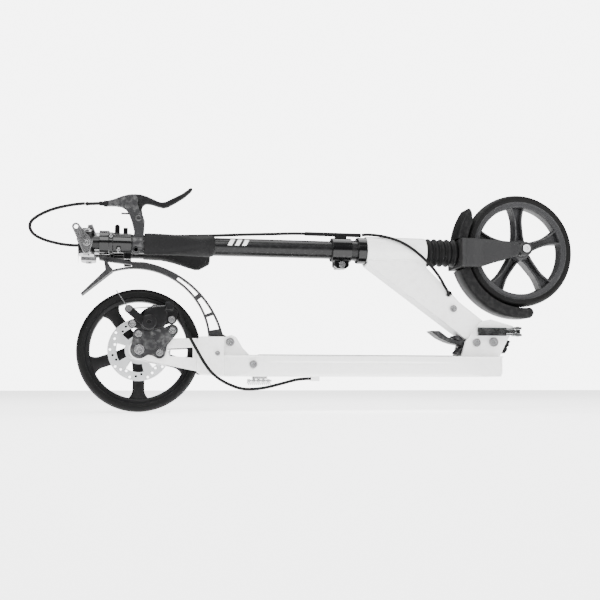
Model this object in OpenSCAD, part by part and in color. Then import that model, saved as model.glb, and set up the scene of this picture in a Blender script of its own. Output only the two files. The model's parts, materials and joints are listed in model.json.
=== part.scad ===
// Folding kick scooter with 200 mm wheels, a cable disc brake and a sprung front fork.
// It is drawn folded: the stem lies along X above the deck and the handlebars lie back along it.
// X runs from the rear wheel to the front wheel, Y across the deck (right side is -Y), Z up.
// Side-view points are [x, z] pairs measured from the rear axle line and the floor.

/* [Wheels] */
// Outer diameter of both wheels
wheel_d = 200; // [196:1:202]
// Width of the tyres
tyre_w = 30; // [26:1:30]
// Number of spokes in each wheel
spoke_count = 5; // [4:1:7]
// Diameter of the brake rotor
rotor_d = 100; // [96:1:102]

/* [Deck] */
// Width of the deck over its side lips
deck_w = 114; // [110:1:116]
// Height of the deck section
deck_h = 34; // [32:1:35]
// Length of the anti-slip tape
tape_l = 330; // [260:5:340]

/* [Stem and bars] */
// Outer diameter of the sliding stem tube
stem_d = 30.4; // [29:0.2:31]
// Diameter of the handlebar tubes
bar_d = 22; // [20:0.5:23]
// Length of one handlebar arm from its hinge
bar_l = 190; // [180:1:200]
// Diameter of the grips
grip_d = 36; // [32:1:37]

/* [Front suspension] */
// Number of folds in the rubber bellows
bellows_folds = 5; // [4:1:7]
// Outer diameter of the bellows
bellows_d = 49; // [46:1:51]

/* [Brake cable] */
// Diameter of the cable housing
cable_d = 5; // [4.6:0.2:5.2]

/* [Hidden] */
$fn = 64;

// Distance from the row's origin back to the rear axle
origin_x = 293;
// Clearance of a running fit, on the radius
run = 0.05;
// Gap between parts that move past each other
gap = 0.3;

// Wheels
wheel_r = wheel_d / 2;
rim_r = wheel_r - 12;
rim_in = wheel_r - 21.4;
rear_hub = [0, wheel_r];
front_hub = [662, 281];
axle_r = 4;
bearing_r = 11;
bearing_w = 7;
hub_r = 20;
hub_y = 17;
rotor_y = -24;
rotor_t = 2;

// Deck
deck_x0 = 135;
deck_x1 = 608;
deck_z0 = 58;
deck_z1 = deck_z0 + deck_h;
tape_t = 1;
wall = 3;
lip_h = 10;
block_y = 44;
rear_arm_y = [31, 37];
caliper_plate_y = [-41, -37];

// Fold joint
fold_c = [603, 117.5];
lever_c = [572, 116.4];
fender_c = [145, 113.4];
neck_y = 18;
cheek_y = [18.4, 24];
fold_pin_r = 6;
lever_pin_r = 4;
neck_eye_r = 20.5;

// Steering line
stem_z = 274;
stem_r = stem_d / 2;
lower_r = stem_r + 2.3;
head_r = 24.5;
head_x = [381, 486];
stem_x = [-71, 480];
lower_x = [321, 520];
crown_x = [545, 556.5];
spigot_r = 12;
bellows_r = bellows_d / 2;

// Handlebar hinges
hinge_x = -85;
hinge_y = 47;
bar_z = 268;
bar_r = bar_d / 2;
bar_pin_r = 5;
knuckle_r = 12.5;
knuckle_h = 30;
grip_x = [5, 114.5];
lever_y = -52;
lever_pivot = [-5, 308];

// Caliper
arm_pivot = [14.3, 142.7];
arm_tip = [-17.4, 163.2];
wire_y = -58;

// Cable routes, [x, y, z]
cable_r = cable_d / 2;
rear_route = [
    [278, -38, 54], [270, -38, 54], [252, -41, 52], [228, -47, 46], [200, -53, 39.5], [175, -57, 37],
    [158, -59, 38.8], [142, -60, 44.5], [127, -60, 52.5], [113, -60, 64], [101, -60, 80], [91, -60, 97],
    [80, -59, 116.5], [70, -58, 136], [65, -58, 150], [61, -58, 161], [57, -58, 167], [52, -58, 169]
];
loop_route = [
    [-88.6, -47, 330], [-93, -47, 330], [-112, -46, 327], [-136, -43, 321], [-157, -39, 312],
    [-171, -33, 302], [-174, -27, 292], [-167, -23, 282], [-150, -21, 274], [-128, -20, 269],
    [-110, -20, 267], [-99, -20, 267]
];
clip_at = [213, -2, 298];
stem_route = [
    [-50, -20, 287], [-40, -20, 287], [0, -16.5, 285], [60, -13, 288], [121, -9, 291.6], [164, -5.2, 295],
    [204, -2.4, 297.5], clip_at, [222, -1.6, 298.5], [244, -0.5, 300.1], [268, 0, 301], [300, 0, 301],
    [345, 0, 301], [372, 0, 301]
];
neck_route = [
    [376, 0, 301.7], [384, -2, 302.4], [396, -7.5, 301.2], [410, -14, 298.3], [424, -20, 294],
    [438, -25, 287.8], [452, -28, 279.6], [466, -29, 269.4], [481, -28.8, 256.8], [495, -28, 242.4],
    [507, -26.4, 227.5], [515.5, -24.6, 214], [521.3, -23, 205.6], [524.7, -20.2, 201], [525.6, -16.2, 200],
    [526.6, -12.5, 199]
];

// Shared helpers ------------------------------------------------------------

// Moves a part from the rear axle line to the row's origin.
module station() translate([-origin_x, 0, 0]) children();

// Extrudes an [x, z] outline from y0 to y1.
module across(y0, y1) translate([0, y1, 0]) rotate([90, 0, 0]) linear_extrude(y1 - y0) children();

// Same outline on both sides, from |y| = y0 to |y| = y1.
module both_sides(y0, y1) {
    across(y0, y1) children();
    across(-y1, -y0) children();
}

// Round bar across the scooter at an [x, z] point.
module rod_y(c, r, y0, y1) translate([c[0], y0, c[1]]) rotate([-90, 0, 0]) cylinder(r = r, h = y1 - y0);

// Round bar along X.
module rod_x(x0, x1, r, z, y = 0) translate([x0, y, z]) rotate([0, 90, 0]) cylinder(r = r, h = x1 - x0);

// Upright round bar.
module rod_z(x, y, r, z0, z1) translate([x, y, z0]) cylinder(r = r, h = z1 - z0);

// Turns a profile about a wheel's axle; the profile is [radius, -y].
module turned(c) translate([c[0], 0, c[1]]) rotate([90, 0, 0]) rotate_extrude() children();

// Box between two corners.
module block(a, b) translate(a) cube(b - a);

// Disc in an outline.
module dot(c, r) translate(c) circle(r = r);

// Point on a circle of an outline.
function on_arc(c, r, a) = c + r * [cos(a), sin(a)];

// Ring sector in an outline.
module sector(c, r0, r1, a0, a1, steps = 12)
    polygon(concat(
        [for (i = [0:steps]) on_arc(c, r1, a0 + (a1 - a0) * i / steps)],
        [for (i = [steps:-1:0]) on_arc(c, r0, a0 + (a1 - a0) * i / steps)]
    ));

// Socket-head screw: head standing off a face towards side s, with its hexagon socket.
module screw_y(c, r, y, h, s) {
    y0 = s > 0 ? y : y - h;
    difference() {
        rod_y(c, r, y0, y0 + h);
        translate([c[0], s > 0 ? y + h * 0.4 : y - h - 1, c[1]]) rotate([-90, 0, 0])
            cylinder(r = r * 0.5, h = h * 0.6 + 1, $fn = 6);
    }
}

// Points of an arc in an outline.
function arc(c, r, a0, a1, steps = 8) = [for (i = [0:steps]) on_arc(c, r, a0 + (a1 - a0) * i / steps)];

// Outline moved out by d from its middle.
function grown(p, d) =
    let (m = [for (k = [0, 1]) [for (q = p) q[k]] * [for (q = p) 1] / len(p)])
    [for (q = p) q + d * (q - m) / norm(q - m)];

// Swept round tube ----------------------------------------------------------

tube_sides = 8;
function unit(v) = v / norm(v);
function spline(a, b, c, d, t) =
    0.5 * (2 * b + (c - a) * t + (2 * a - 5 * b + 4 * c - d) * t * t + (3 * b - a - 3 * c + d) * t * t * t);
function pick(p, i) = p[max(0, min(len(p) - 1, i))];
function smooth_route(p) = concat(
    [for (i = [0:len(p) - 2]) for (t = [0, 0.5]) spline(pick(p, i - 1), p[i], p[i + 1], pick(p, i + 2), t)],
    [p[len(p) - 1]]
);
function heading(p, i) = unit(pick(p, i + 1) - pick(p, i - 1));
function ring_at(p, i, r) =
    let (t = heading(p, i), n = unit(cross(t, [0, 1, 0])), b = cross(t, n))
    [for (k = [0:tube_sides - 1]) p[i] + r * (cos(360 * k / tube_sides) * n + sin(360 * k / tube_sides) * b)];

// Tube of radius r along a list of points.
module tube(route, r) {
    p = smooth_route(route);
    n = len(p);
    points = [for (i = [0:n - 1]) each ring_at(p, i, r)];
    sides = [
        for (i = [0:n - 2]) for (k = [0:tube_sides - 1])
            let (a = i * tube_sides, b = a + tube_sides, m = (k + 1) % tube_sides)
            [a + k, b + k, b + m, a + m]
    ];
    start = [for (k = [0:tube_sides - 1]) k];
    end = [for (k = [tube_sides - 1:-1:0]) (n - 1) * tube_sides + k];
    polyhedron(points, concat([start, end], sides));
}

// Deck ----------------------------------------------------------------------

// Half section of the deck, [y, z]: an upper lip over an inset lower flank.
function deck_half(s) = [
    [s * deck_w / 2, deck_z1 - 2], [s * deck_w / 2, deck_z1 - lip_h], [s * (deck_w / 2 - 3), deck_z1 - lip_h - 2],
    [s * (deck_w / 2 - 7), deck_z0 + 4], [s * (deck_w / 2 - 11), deck_z0]
];

module deck_section() {
    right = deck_half(-1);
    left = deck_half(1);
    polygon(concat(
        [[-deck_w / 2 + 2, deck_z1]], right,
        [for (i = [len(left) - 1:-1:0]) left[i]], [[deck_w / 2 - 2, deck_z1]]
    ));
}

// Long hollow cells inside the deck.
module deck_cells() {
    cell_w = (deck_w - 34) / 3 - wall;
    for (i = [-1:1]) translate([i * (cell_w + wall) - cell_w / 2, deck_z0 + wall])
        square([cell_w, deck_h - 2 * wall - 1]);
}

// Plan wedge that scoops a deck corner, from the lip's full width at x_tip.
module corner_scoop(x_tip, x_end, depth, s) {
    y_out = s * (deck_w / 2 + 1);
    translate([0, 0, deck_z0 - 1]) linear_extrude(deck_h - 1)
        polygon([[x_tip, y_out], [x_tip, s * deck_w / 2], [x_end, s * (deck_w / 2 - depth)], [x_end, y_out]]);
}

deck_screw = [181, 77];
fender_pin_r = 4;

module deck() color("white") station() {
    difference() {
        translate([deck_x0, 0, 0]) rotate([90, 0, 90]) linear_extrude(deck_x1 - deck_x0) difference() {
            deck_section();
            deck_cells();
        }
        for (s = [-1, 1]) {
            corner_scoop(500, deck_x1 + 1, 15.5, s);
            corner_scoop(218, deck_x0 - 1, 13.5, s);
            rod_y(deck_screw, 6, min(s * (deck_w / 2 - 7.5), s * 60), max(s * (deck_w / 2 - 7.5), s * 60));
        }
    }
    // Boss where the brake cable leaves the deck
    block([278, -43, 50], [292, -33, deck_z0]);
}

module grip_tape() color("#2a2a2c") station()
    block([190, -deck_w / 2 + 5, deck_z1], [190 + tape_l, deck_w / 2 - 5, deck_z1 + tape_t]);

module front_cap() color("white") station()
    translate([deck_x1, 0, 0]) rotate([90, 0, 90]) linear_extrude(4)
        polygon([[-41, deck_z1], [-41, deck_z0 + 6], [-36, deck_z0], [36, deck_z0], [41, deck_z0 + 6], [41, deck_z1]]);

// Casting that closes the deck's rear end and carries the fork arms and the mudguard.
module rear_block() color("white") station() difference() {
    union() {
        difference() {
            across(-block_y, block_y)
                polygon([[91, 66], [97, 61], [deck_x0, 59], [deck_x0, 121.5], [96, 121.5], [91, 117]]);
            rod_y(rear_hub, wheel_r + 4, -20, 20);
            block([80, -23, 112], [deck_x0 + 1, 23, 130]);
        }
        both_sides(24, 33)
            polygon([[deck_x0, deck_z1], [178, deck_z1], [166, 104], [156, 121], [148, 125], [deck_x0, 121.5]]);
    }
    rod_y(fender_c, fender_pin_r, -34, 34);
}

// Outline of one rear arm, open between its two legs.
module fork_arm_outline() difference() {
    union() {
        dot(rear_hub, 16.5);
        polygon([[0, 116.5], [91, 119], [91, 66], [1.6, 83.6]]);
    }
    polygon([[44, 102], [85, 104], [85, 87], [48, 90]]);
    dot(rear_hub, axle_r);
}

module right_fork_arm() color("white") station() across(-rear_arm_y[1], -rear_arm_y[0]) fork_arm_outline();

module left_fork_arm() color("white") station() across(rear_arm_y[0], rear_arm_y[1]) fork_arm_outline();

module rear_axle() color("silver") station() {
    rod_y(rear_hub, axle_r, -43, 39);
    screw_y(rear_hub, 8, caliper_plate_y[0], 5, -1);
    screw_y(rear_hub, 8, rear_arm_y[1], 5, 1);
    // Spacers between the bearings and the arms
    rod_y(rear_hub, 7, -rear_arm_y[0], rotor_y - gap);
    rod_y(rear_hub, 7, hub_y + gap, rear_arm_y[0]);
}

// Screws and pins of the rigid frame: deck, fold hinge and caliper.
module frame_bolts() color("silver") station() {
    deck_bolts();
    hinge_pins();
    caliper_bolts();
}

module deck_bolts() {
    for (s = [-1, 1]) {
        screw_y(fender_c, 7, s * 33, 4, s);
        screw_y([124, 94.6], 4, s * block_y, 2.5, s);
        screw_y(deck_screw, 6, s * (deck_w / 2 - 7.5), 5, s);
    }
    // Mudguard hinge pin
    rod_y(fender_c, fender_pin_r, -33, 33);
}

// Fold joint on the deck ------------------------------------------------------

module hinge_bracket() color("white") station() {
    block([556, -cheek_y[1], deck_z1], [612, cheek_y[1], deck_z1 + 3]);
    difference() {
        both_sides(cheek_y[0], cheek_y[1])
            polygon([[545, deck_z1], [553, 118.5], [581, 153], [600, 157], [640, 146], [643, 141], [629.8, 121.9],
                [614.5, deck_z1]]);
        rod_y(fold_c, fold_pin_r, -30, 30);
        rod_y(lever_c, lever_pin_r, -30, 30);
    }
}

module hinge_pins() {
    rod_y(fold_c, fold_pin_r, -cheek_y[1], cheek_y[1]);
    rod_y(lever_c, lever_pin_r, -cheek_y[1], cheek_y[1]);
    for (s = [-1, 1]) {
        screw_y(fold_c, 8, s * cheek_y[1], 4, s);
        screw_y(lever_c, 7, s * cheek_y[1], 3.5, s);
    }
}

// Ribbed rubber stop that the neck closes against when it stands up.
module bumper() color("#1d1d1f") station() across(-cheek_y[1], cheek_y[1])
    polygon([[619.1, 100.6], [629.8, 121.8], [635.5, 119], [632, 115], [633, 112], [628.5, 109], [629, 104.5], [624, 98]]);

module latch_clevis() color("silver") station() {
    block([622, -30, 129], [640, -cheek_y[1], 142]);
    difference() {
        for (z = [[127.5, 131.7], [139.3, 143.5]]) {
            block([636, -37, z[0]], [647, -cheek_y[1] - gap, z[1]]);
            rod_z(647, -32, 5, z[0], z[1]);
        }
        rod_z(645, -32, 2.5, 120, 150);
    }
    rod_z(645, -32, 2.5, 126.5, 144.5);
}

// Quick-release blade that lies along the bracket and swings out about an upright pin.
module fold_latch() color("silver") station() difference() {
    union() {
        block([571, -33.6, 127.5], [624, -30.4, 142.5]);
        block([620, -33.6, 132], [645, -30.4, 139]);
        rod_z(645, -32, 4.4, 132, 139);
        rod_z(573, -31, 2.6, 127.5, 142.5);
    }
    rod_z(645, -32, 2.5 + run, 130, 141);
}

// Foot pedal that frees the fold joint.
module release_lever() color("#4a4a4d") station() difference() {
    across(-13, 13) {
        dot(lever_c, 6.5);
        polygon([[494, 137], [510, 137], [524, 126.5], [545, 119], [556, 118], [571, 121], [572, 110], [548, 112.5],
            [534, 115], [524, 118], [510, 124.5], [497, 134]]);
        polygon([[562, 115.8], [543, 129.4], [538, 129], [537, 125], [556, 112]]);
        polygon([[567, 113], [560, 107], [548, 97.5], [541, 97.5], [541, 100.5], [556, 113]]);
    }
    rod_y(lever_c, lever_pin_r + run, -14, 14);
}

// Neck ------------------------------------------------------------------------

module neck_frame() color("white") station() difference() {
    across(-neck_y, neck_y) {
        polygon([[381, 249.2], [555.7, 122.8], [572, 125.8], [583.5, 124.5], fold_c, [615, 134.1], [545, 187],
            [520, 213], [head_x[1], 246], [head_x[1], stem_z], [head_x[0], stem_z]]);
        dot(fold_c, neck_eye_r);
    }
    rod_x(head_x[0] - 1, head_x[1] + 1, head_r, stem_z);
    rod_y(fold_c, fold_pin_r + run, -20, 20);
    rod_y([525.6, 200], 4.2, -neck_y - 1, -neck_y + 8);
}

module head_tube() color("white") station() difference() {
    rod_x(head_x[0], head_x[1], head_r, stem_z);
    rod_x(head_x[0] - 1, head_x[1] + 1, 19.5, stem_z);
}

module headset_cups() color("#1b1b1d") station() difference() {
    union() {
        rod_x(366, head_x[0], 22.5, stem_z);
        rod_x(head_x[0], head_x[0] + 12, 19.5, stem_z);
        rod_x(head_x[1] - 12, head_x[1], 19.5, stem_z);
        rod_x(head_x[1], head_x[1] + 1.2, 23, stem_z);
    }
    rod_x(360, 490, lower_r + run, stem_z);
    rod_x(head_x[0] + 12, head_x[1] - 12, 20, stem_z);
}

module neck_bolt() color("silver") station() for (s = [-1, 1]) screw_y([533, 175], 6, s * neck_y, 4, s);

module neck_cable() color("#161617") station() tube(neck_route, cable_r);

// Stem ------------------------------------------------------------------------

module lower_stem() color("#1b1b1d") station() difference() {
    rod_x(lower_x[0], lower_x[1], lower_r, stem_z);
    rod_x(lower_x[0] - 1, 500, stem_r + run, stem_z);
    rod_x(490, lower_x[1] + 1, spigot_r + run, stem_z);
    // Clamping slot under the tube
    block([lower_x[0] - 1, -1.5, stem_z - 20], [350, 1.5, stem_z]);
}

module clamp_collar() color("#0f0f10") station() difference() {
    union() {
        rod_x(lower_x[0], 355, lower_r + 3, stem_z);
        both_sides(1.5, 10) polygon([[325, 260], [351, 260], [351, 246], [346, 241.5], [330, 241.5], [325, 246]]);
    }
    rod_x(lower_x[0] - 1, 356, lower_r, stem_z);
    rod_y([338, 248], 3, -12, 12);
}

clamp_c = [338, 248];
cam_y = 15;
cam_r = 4.9;
cam_pin_r = 1.8;

// Clamp bolt with its head on the right and the cam's cross pin on the left.
module clamp_bolt() color("silver") station() {
    rod_y(clamp_c, 3, -11, cam_y + 2.5);
    rod_y(clamp_c, 5.5, -14, -10 - run);
    rod_x(clamp_c[0] - 6.2, clamp_c[0] + 6.2, cam_pin_r, clamp_c[1], cam_y);
}

// Cam lever of the stem clamp, forked round the bolt.
module clamp_lever() color("#2a2a2c") station() difference() {
    union() {
        rod_x(clamp_c[0] - 6.2, clamp_c[0] + 6.2, cam_r, clamp_c[1], cam_y);
        block([clamp_c[0] - 6.2, cam_y, clamp_c[1] - cam_r], [clamp_c[0] + 6.2, cam_y + 10.5, clamp_c[1] + cam_r]);
        block([clamp_c[0] - 6.2, cam_y + 6.5, clamp_c[1] - 2], [clamp_c[0] + 6.2, cam_y + 10.5, clamp_c[1] + 43]);
    }
    block([clamp_c[0] - 3.3, cam_y - 6, clamp_c[1] - 14], [clamp_c[0] + 3.3, cam_y + 4, clamp_c[1] + 14]);
    rod_x(clamp_c[0] - 7, clamp_c[0] + 7, cam_pin_r + run, clamp_c[1], cam_y);
}

// Folded rubber sleeve over the fork's slider.
function bellows_rim(x0, pitch, r0, r1) = [
    for (i = [0:bellows_folds - 1]) each [
        [r0, x0 + i * pitch], [r1 - 1, x0 + (i + 0.3) * pitch], [r1, x0 + (i + 0.5) * pitch],
        [r1 - 1, x0 + (i + 0.7) * pitch]
    ]
];
module bellows() color("#161617") station() {
    x0 = head_x[1] + 1.8;
    x1 = crown_x[0] - 0.2;
    pitch = (x1 - x0) / bellows_folds;
    outer = concat(bellows_rim(x0, pitch, bellows_r - 3.5, bellows_r), [[bellows_r - 3.5, x1]]);
    inner = [for (i = [len(outer) - 1:-1:0]) outer[i] - [2, 0]];
    translate([0, 0, stem_z]) rotate([90, 0, 90]) rotate_extrude() polygon(concat(outer, inner));
}

// Guide that the housing slides through as the stem is raised.
module cable_sleeve() color("#161617") station() {
    difference() {
        rod_x(276, 374, cable_r + 0.9, 301);
        rod_x(270, 380, cable_r + 0.15, 301);
    }
    // Foot on the clamp collar
    difference() {
        block([328, -3, stem_z + lower_r + 1], [348, 3, 301 - cable_r]);
        rod_x(320, 356, lower_r + 3, stem_z);
        rod_x(270, 380, cable_r + 0.15, 301);
    }
}

module upper_stem() color("#1b1b1d") station() difference() {
    rod_x(stem_x[0], stem_x[1], stem_r, stem_z);
    rod_x(stem_x[0] + 10, stem_x[1] + 1, stem_r - 2, stem_z);
}

// Cross head: a cross tube, a socket for the stem and a two-ear hinge at each end.
module t_head() color("#1b1b1d") station() {
    ear_z = [bar_z - knuckle_h / 2 - gap, bar_z + knuckle_h / 2 + gap];
    rod_y([hinge_x, stem_z - 3], 14, -30, 30);
    difference() {
        rod_x(hinge_x, -50, 18, stem_z);
        rod_x(stem_x[0], 0, stem_r, stem_z);
    }
    for (s = [-1, 1]) {
        for (z = [[ear_z[0] - 4, ear_z[0]], [ear_z[1], ear_z[1] + 4]]) {
            rod_z(hinge_x, s * hinge_y, knuckle_r - gap, z[0], z[1]);
            block([hinge_x - 12, min(s * 22, s * hinge_y), z[0]], [hinge_x + 12, max(s * 22, s * hinge_y), z[1]]);
        }
        block([hinge_x - 12, min(s * 22, s * 32), ear_z[0]], [hinge_x + 12, max(s * 22, s * 32), ear_z[1]]);
        rod_z(hinge_x, s * hinge_y, bar_pin_r, ear_z[0] - 6, ear_z[1] + 6);
        rod_z(hinge_x, s * hinge_y, 8, ear_z[1] + 4, ear_z[1] + 7);
    }
    // Cable port on each face of the cross tube
    block([-99, -24, 263], [-90, -16, 271]);
    block([-66, -24, 276], [-50, -16, 292]);
    // Spring-loaded pull tab
    across(-31, -24) polygon([[-87, 279], [-84, 299], [-77, 300.5], [-70, 283], [-74, 276]]);
}

module cable_clip() difference() {
    union() {
        rod_x(210, 216, stem_r + 2, stem_z);
        block([210, clip_at[1] - 3.5, stem_z], [216, clip_at[1] + 3.5, clip_at[2]]);
        rod_x(210, 216, cable_r + 2, clip_at[2], clip_at[1]);
    }
    rod_x(209, 217, stem_r, stem_z);
    rod_x(209, 217, cable_r + 0.35, clip_at[2], clip_at[1]);
}

// Plain slanted bars as a neutral stem graphic.
module stem_badge() color("white") station() intersection() {
    difference() {
        rod_x(120, 200, stem_r + 0.3, stem_z);
        rod_x(119, 201, stem_r, stem_z);
    }
    for (i = [0:2]) translate([142 + 12 * i, 0, 0]) across(-20, -5)
        polygon([[0, stem_z + 1], [7, stem_z + 1], [13, stem_z + 12], [6, stem_z + 12]]);
}

// The housing along the stem, the loop ahead of it and the clip that holds it.
module stem_cable() color("#161617") station() {
    tube(stem_route, cable_r);
    tube(loop_route, cable_r);
    cable_clip();
}

// Handlebars --------------------------------------------------------------------

// One bar with its knuckle; s is -1 on the right and 1 on the left.
module bar(s) difference() {
    union() {
        rod_z(hinge_x, s * hinge_y, knuckle_r, bar_z - knuckle_h / 2, bar_z + knuckle_h / 2);
        rod_x(hinge_x, hinge_x + bar_l, bar_r, bar_z, s * hinge_y);
    }
    rod_z(hinge_x, s * hinge_y, bar_pin_r + run, 200, 340);
    rod_x(hinge_x + 20, hinge_x + bar_l + 1, bar_r - 2, bar_z, s * hinge_y);
}

module right_bar() color("#1b1b1d") station() bar(-1);

module left_bar() color("#1b1b1d") station() bar(1);

// Lock plate on the outer face of a knuckle, with its screw.
lock_hole = [-100.7, 290.5];
lock_t = 3.5;
module lock_plate(s) {
    face = hinge_y + knuckle_r;
    difference() {
        across(min(s * face, s * (face + lock_t)), max(s * face, s * (face + lock_t)))
            polygon(concat(arc(lock_hole, 6.2, 20, 190), arc([-84.5, 254], 5.5, 200, 340), arc([-84, 266], 9, -20, 50)));
        rod_y(lock_hole, 3.2, -80, 80);
    }
    screw_y([-84, 266], 5, s * (face + lock_t), 2, s);
}

module right_lock() color("silver") station() {
    lock_plate(-1);
    sleeve_bolts();
}

module left_lock() color("silver") station() lock_plate(1);

// Spring housing clamped on the bar behind its hinge, with a guide tab and a stop tab.
sleeve_x = [-65, -15];
sleeve_r = 16;
sleeve_screws = [[-47, 277], [-34.9, 256]];
module sleeve(s) difference() {
    union() {
        rod_x(sleeve_x[0], sleeve_x[1], sleeve_r, bar_z, s * hinge_y);
        rod_x(-50, -44, sleeve_r + 1.5, bar_z, s * hinge_y);
        across(s * hinge_y - 4, s * hinge_y + 4)
            polygon(concat([[-41.5, bar_z], [-41.5, 294]], arc([-37.5, 294], 4, 170, 10, 6), [[-33.5, bar_z]]));
        block([-28, s * hinge_y - 4, bar_z], [-21, s * hinge_y + 4, 293]);
        block([-27, s * hinge_y - 5, 243], [-15, s * hinge_y + 5, bar_z]);
        for (c = sleeve_screws) rod_y(c, 3.8, min(s * hinge_y, s * (hinge_y + 17)), max(s * hinge_y, s * (hinge_y + 17)));
    }
    rod_x(sleeve_x[0] - 1, sleeve_x[1] + 1, bar_r, bar_z, s * hinge_y);
}

module right_sleeve() color("#161617") station() sleeve(-1);

module left_sleeve() color("#161617") station() sleeve(1);

module sleeve_bolts()
    for (c = sleeve_screws) screw_y(c, 3, -hinge_y - 17, 2.4, -1);

// Rubber grip, flattened across, with a palm wing; the right one is turned a quarter outwards.
grip_back = 12.5;
module grip(s) difference() {
    translate([0, s * hinge_y, bar_z]) rotate([s < 0 ? -90 : 0, 0, 0]) {
        intersection() {
            rod_x(grip_x[0], grip_x[1] + 3, grip_d / 2, 0);
            block([grip_x[0], -grip_d, -grip_back], [grip_x[1] + 3, grip_d, grip_back]);
        }
        across(-grip_d / 3, grip_d / 3)
            polygon([[grip_x[0], -5], [grip_x[0], -12], [35, -13], [58, -18], [80, -25], [92, -28.4], [100, -28],
                [grip_x[1] + 3, -18], [grip_x[1] + 3, -5]]);
    }
    rod_x(grip_x[0] - 1, hinge_x + bar_l, bar_r, bar_z, s * hinge_y);
}

module right_grip() color("#2f2f31") station() grip(-1);

module left_grip() color("#2f2f31") station() grip(1);

// Lever perch: a band on the bar and a slotted arm that holds the lever's pivot.
perch_screw = [-8, 257];
module lever_housing() color("#3d3e41") station() {
    difference() {
        union() {
            rod_x(-14, 3, bar_r + 3.5, bar_z, -hinge_y);
            across(lever_y - 6, lever_y + 6)
                polygon([[-53, 334.5], [-45.4, 336.6], [-31.2, 342.6], [-20.5, 345.8], [-13.3, 346.6], [-7.5, 343],
                    [-5.8, 337], [-6.4, 330], [-3, 321], [2.5, 312], [5.3, 303], [4.6, 288], [3, 272], [-12, 272],
                    [-11.2, 288], [-15.3, 304], [-20.4, 317], [-25, 322.6], [-31.5, 325.8], [-41, 326.9],
                    [-53, 326.6]]);
            across(lever_y - 6, lever_y + 6) dot(perch_screw, 6.8);
        }
        rod_x(-20, 10, bar_r, bar_z, -hinge_y);
        block([-26, lever_y - 3.9, 298], [20, lever_y + 3.9, 350]);
        block([-20, lever_y - 1, 240], [10, lever_y + 1, 262]);
    }
    rod_y(lever_pivot, 3, lever_y - 6, lever_y + 6);
    screw_y(lever_pivot, 4.5, lever_y - 6, 2, -1);
    screw_y(perch_screw, 4.2, lever_y - 6, 2.4, -1);
    // Reach screw
    rod_x(-32, -19, 1.5, 315.5, lever_y);
}

module cable_adjuster() color("#1b1b1d") station() {
    rod_x(-59, -53, 5, 330.3, lever_y);
    rod_x(-66, -59, 3.6, 330.3, lever_y);
    hull() {
        rod_x(-68, -66, cable_r, 330.3, lever_y);
        rod_x(-85, -84, cable_r, 330, -47);
    }
}

// Two-finger lever blade, bent away from the grip.
module brake_lever() color("#3d3e41") station() difference() {
    across(lever_y - 3.6, lever_y + 3.6)
        polygon(concat(arc(lever_pivot, 7, 170, 380, 12), [[1.6, 316], [0.4, 322], [2, 328], [6.9, 331.5], [15.9, 330.6],
            [26, 327.6], [34.2, 325.8], [41.5, 327.5], [54, 334.8], [67, 343.6], [77, 352.6], [80.6, 357.4],
            [79.6, 361], [76, 360.6], [72.3, 357], [63.2, 350.2], [48, 342], [38, 336.6], [32, 335.4], [26.8, 336.2],
            [17, 340.4], [8.5, 344.1], [-2, 347], [-12.5, 347.4], [-14, 339], [-12.6, 322]]));
    rod_y(lever_pivot, 3 + run, -70, -40);
}

// Caliper -------------------------------------------------------------------------

caliper_screws = [[-11, 140.6], [-1.6, 125], [50, 148], [51.7, 131], [31.7, 95]];

// Part of the caliper that straddles the rotor.
core = concat([[4, 152], [8, 163], [22, 169], [40, 169], [44, 150], [36, 134]], arc(arm_pivot, 13, -60, -190, 10));

// Plate between the axle and the caliper, in one outline.
module caliper_bracket() color("#3a3a3c") station() difference() {
    across(caliper_plate_y[0], caliper_plate_y[1]) difference() {
        polygon(concat(arc(rear_hub, 14.5, 150, 300, 10), [[14, 91.5], [20, 90.5]], arc([31.7, 95], 9.6, 230, 350, 8),
            [[44, 107]], arc([51.7, 131], 9.6, -30, 110, 8), [[40, 136], [8, 132]], arc([-1.6, 125], 8.6, 80, 200, 8)));
        polygon(grown(core, 1.2 * gap));
        dot([31.7, 95], 3);
        dot([51.7, 131], 3);
        dot([-1.6, 125], 3);
        dot(rear_hub, axle_r);
    }
}

module caliper_body() color("#161617") station() difference() {
    union() {
        across(-52, -14) polygon(core);
        across(-49, caliper_plate_y[0]) {
            dot([-11, 140.6], 7);
            dot([50, 148], 8);
            polygon([[-13, 134], [-10, 147.5], [6.8, 163], [20, 170.6], [49, 170.6], [60, 160], [57, 144],
                [40, 139], [10, 132]]);
        }
        // Housing stop
        block([40, -62, 162], [52, -49, 175]);
    }
    rod_y(rear_hub, rotor_d / 2 + 3, rotor_y - 4.5, rotor_y + 2.5);
    rod_x(39, 53, 1.3, 169, wire_y);
    rod_y([-11, 140.6], 3, -50, -40);
    rod_y([50, 148], 3, -50, -40);
    rod_y(arm_pivot, 5, -53, -40);
}

module caliper_bolts() {
    for (c = [[-1.6, 125], [51.7, 131], [31.7, 95]]) {
        rod_y(c, 3, caliper_plate_y[0], caliper_plate_y[1]);
        screw_y(c, 5.5, caliper_plate_y[0], 4, -1);
    }
    for (c = [[-11, 140.6], [50, 148]]) {
        rod_y(c, 3, -49, caliper_plate_y[0]);
        screw_y(c, 5.5, -49, 4, -1);
    }
}

// Actuating arm with its round knob and pinch bolt.
module caliper_arm() color("#1b1b1d") station() {
    rod_y(arm_pivot, 5 - run, -53, -42);
    difference() {
        across(-56.5, -52.6) {
            dot(arm_pivot, 12);
            dot(arm_tip, 6.5);
            polygon([[6, 151], [-14, 168.6], [-21, 158], [4, 137]]);
        }
        rod_y(arm_tip, 2, -60, -50);
    }
    difference() {
        rod_y(arm_pivot, 11, -62, -56.5);
        translate([arm_pivot[0], -63, arm_pivot[1]]) rotate([-90, 0, 0]) cylinder(r = 4, h = 4, $fn = 6);
    }
}

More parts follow.
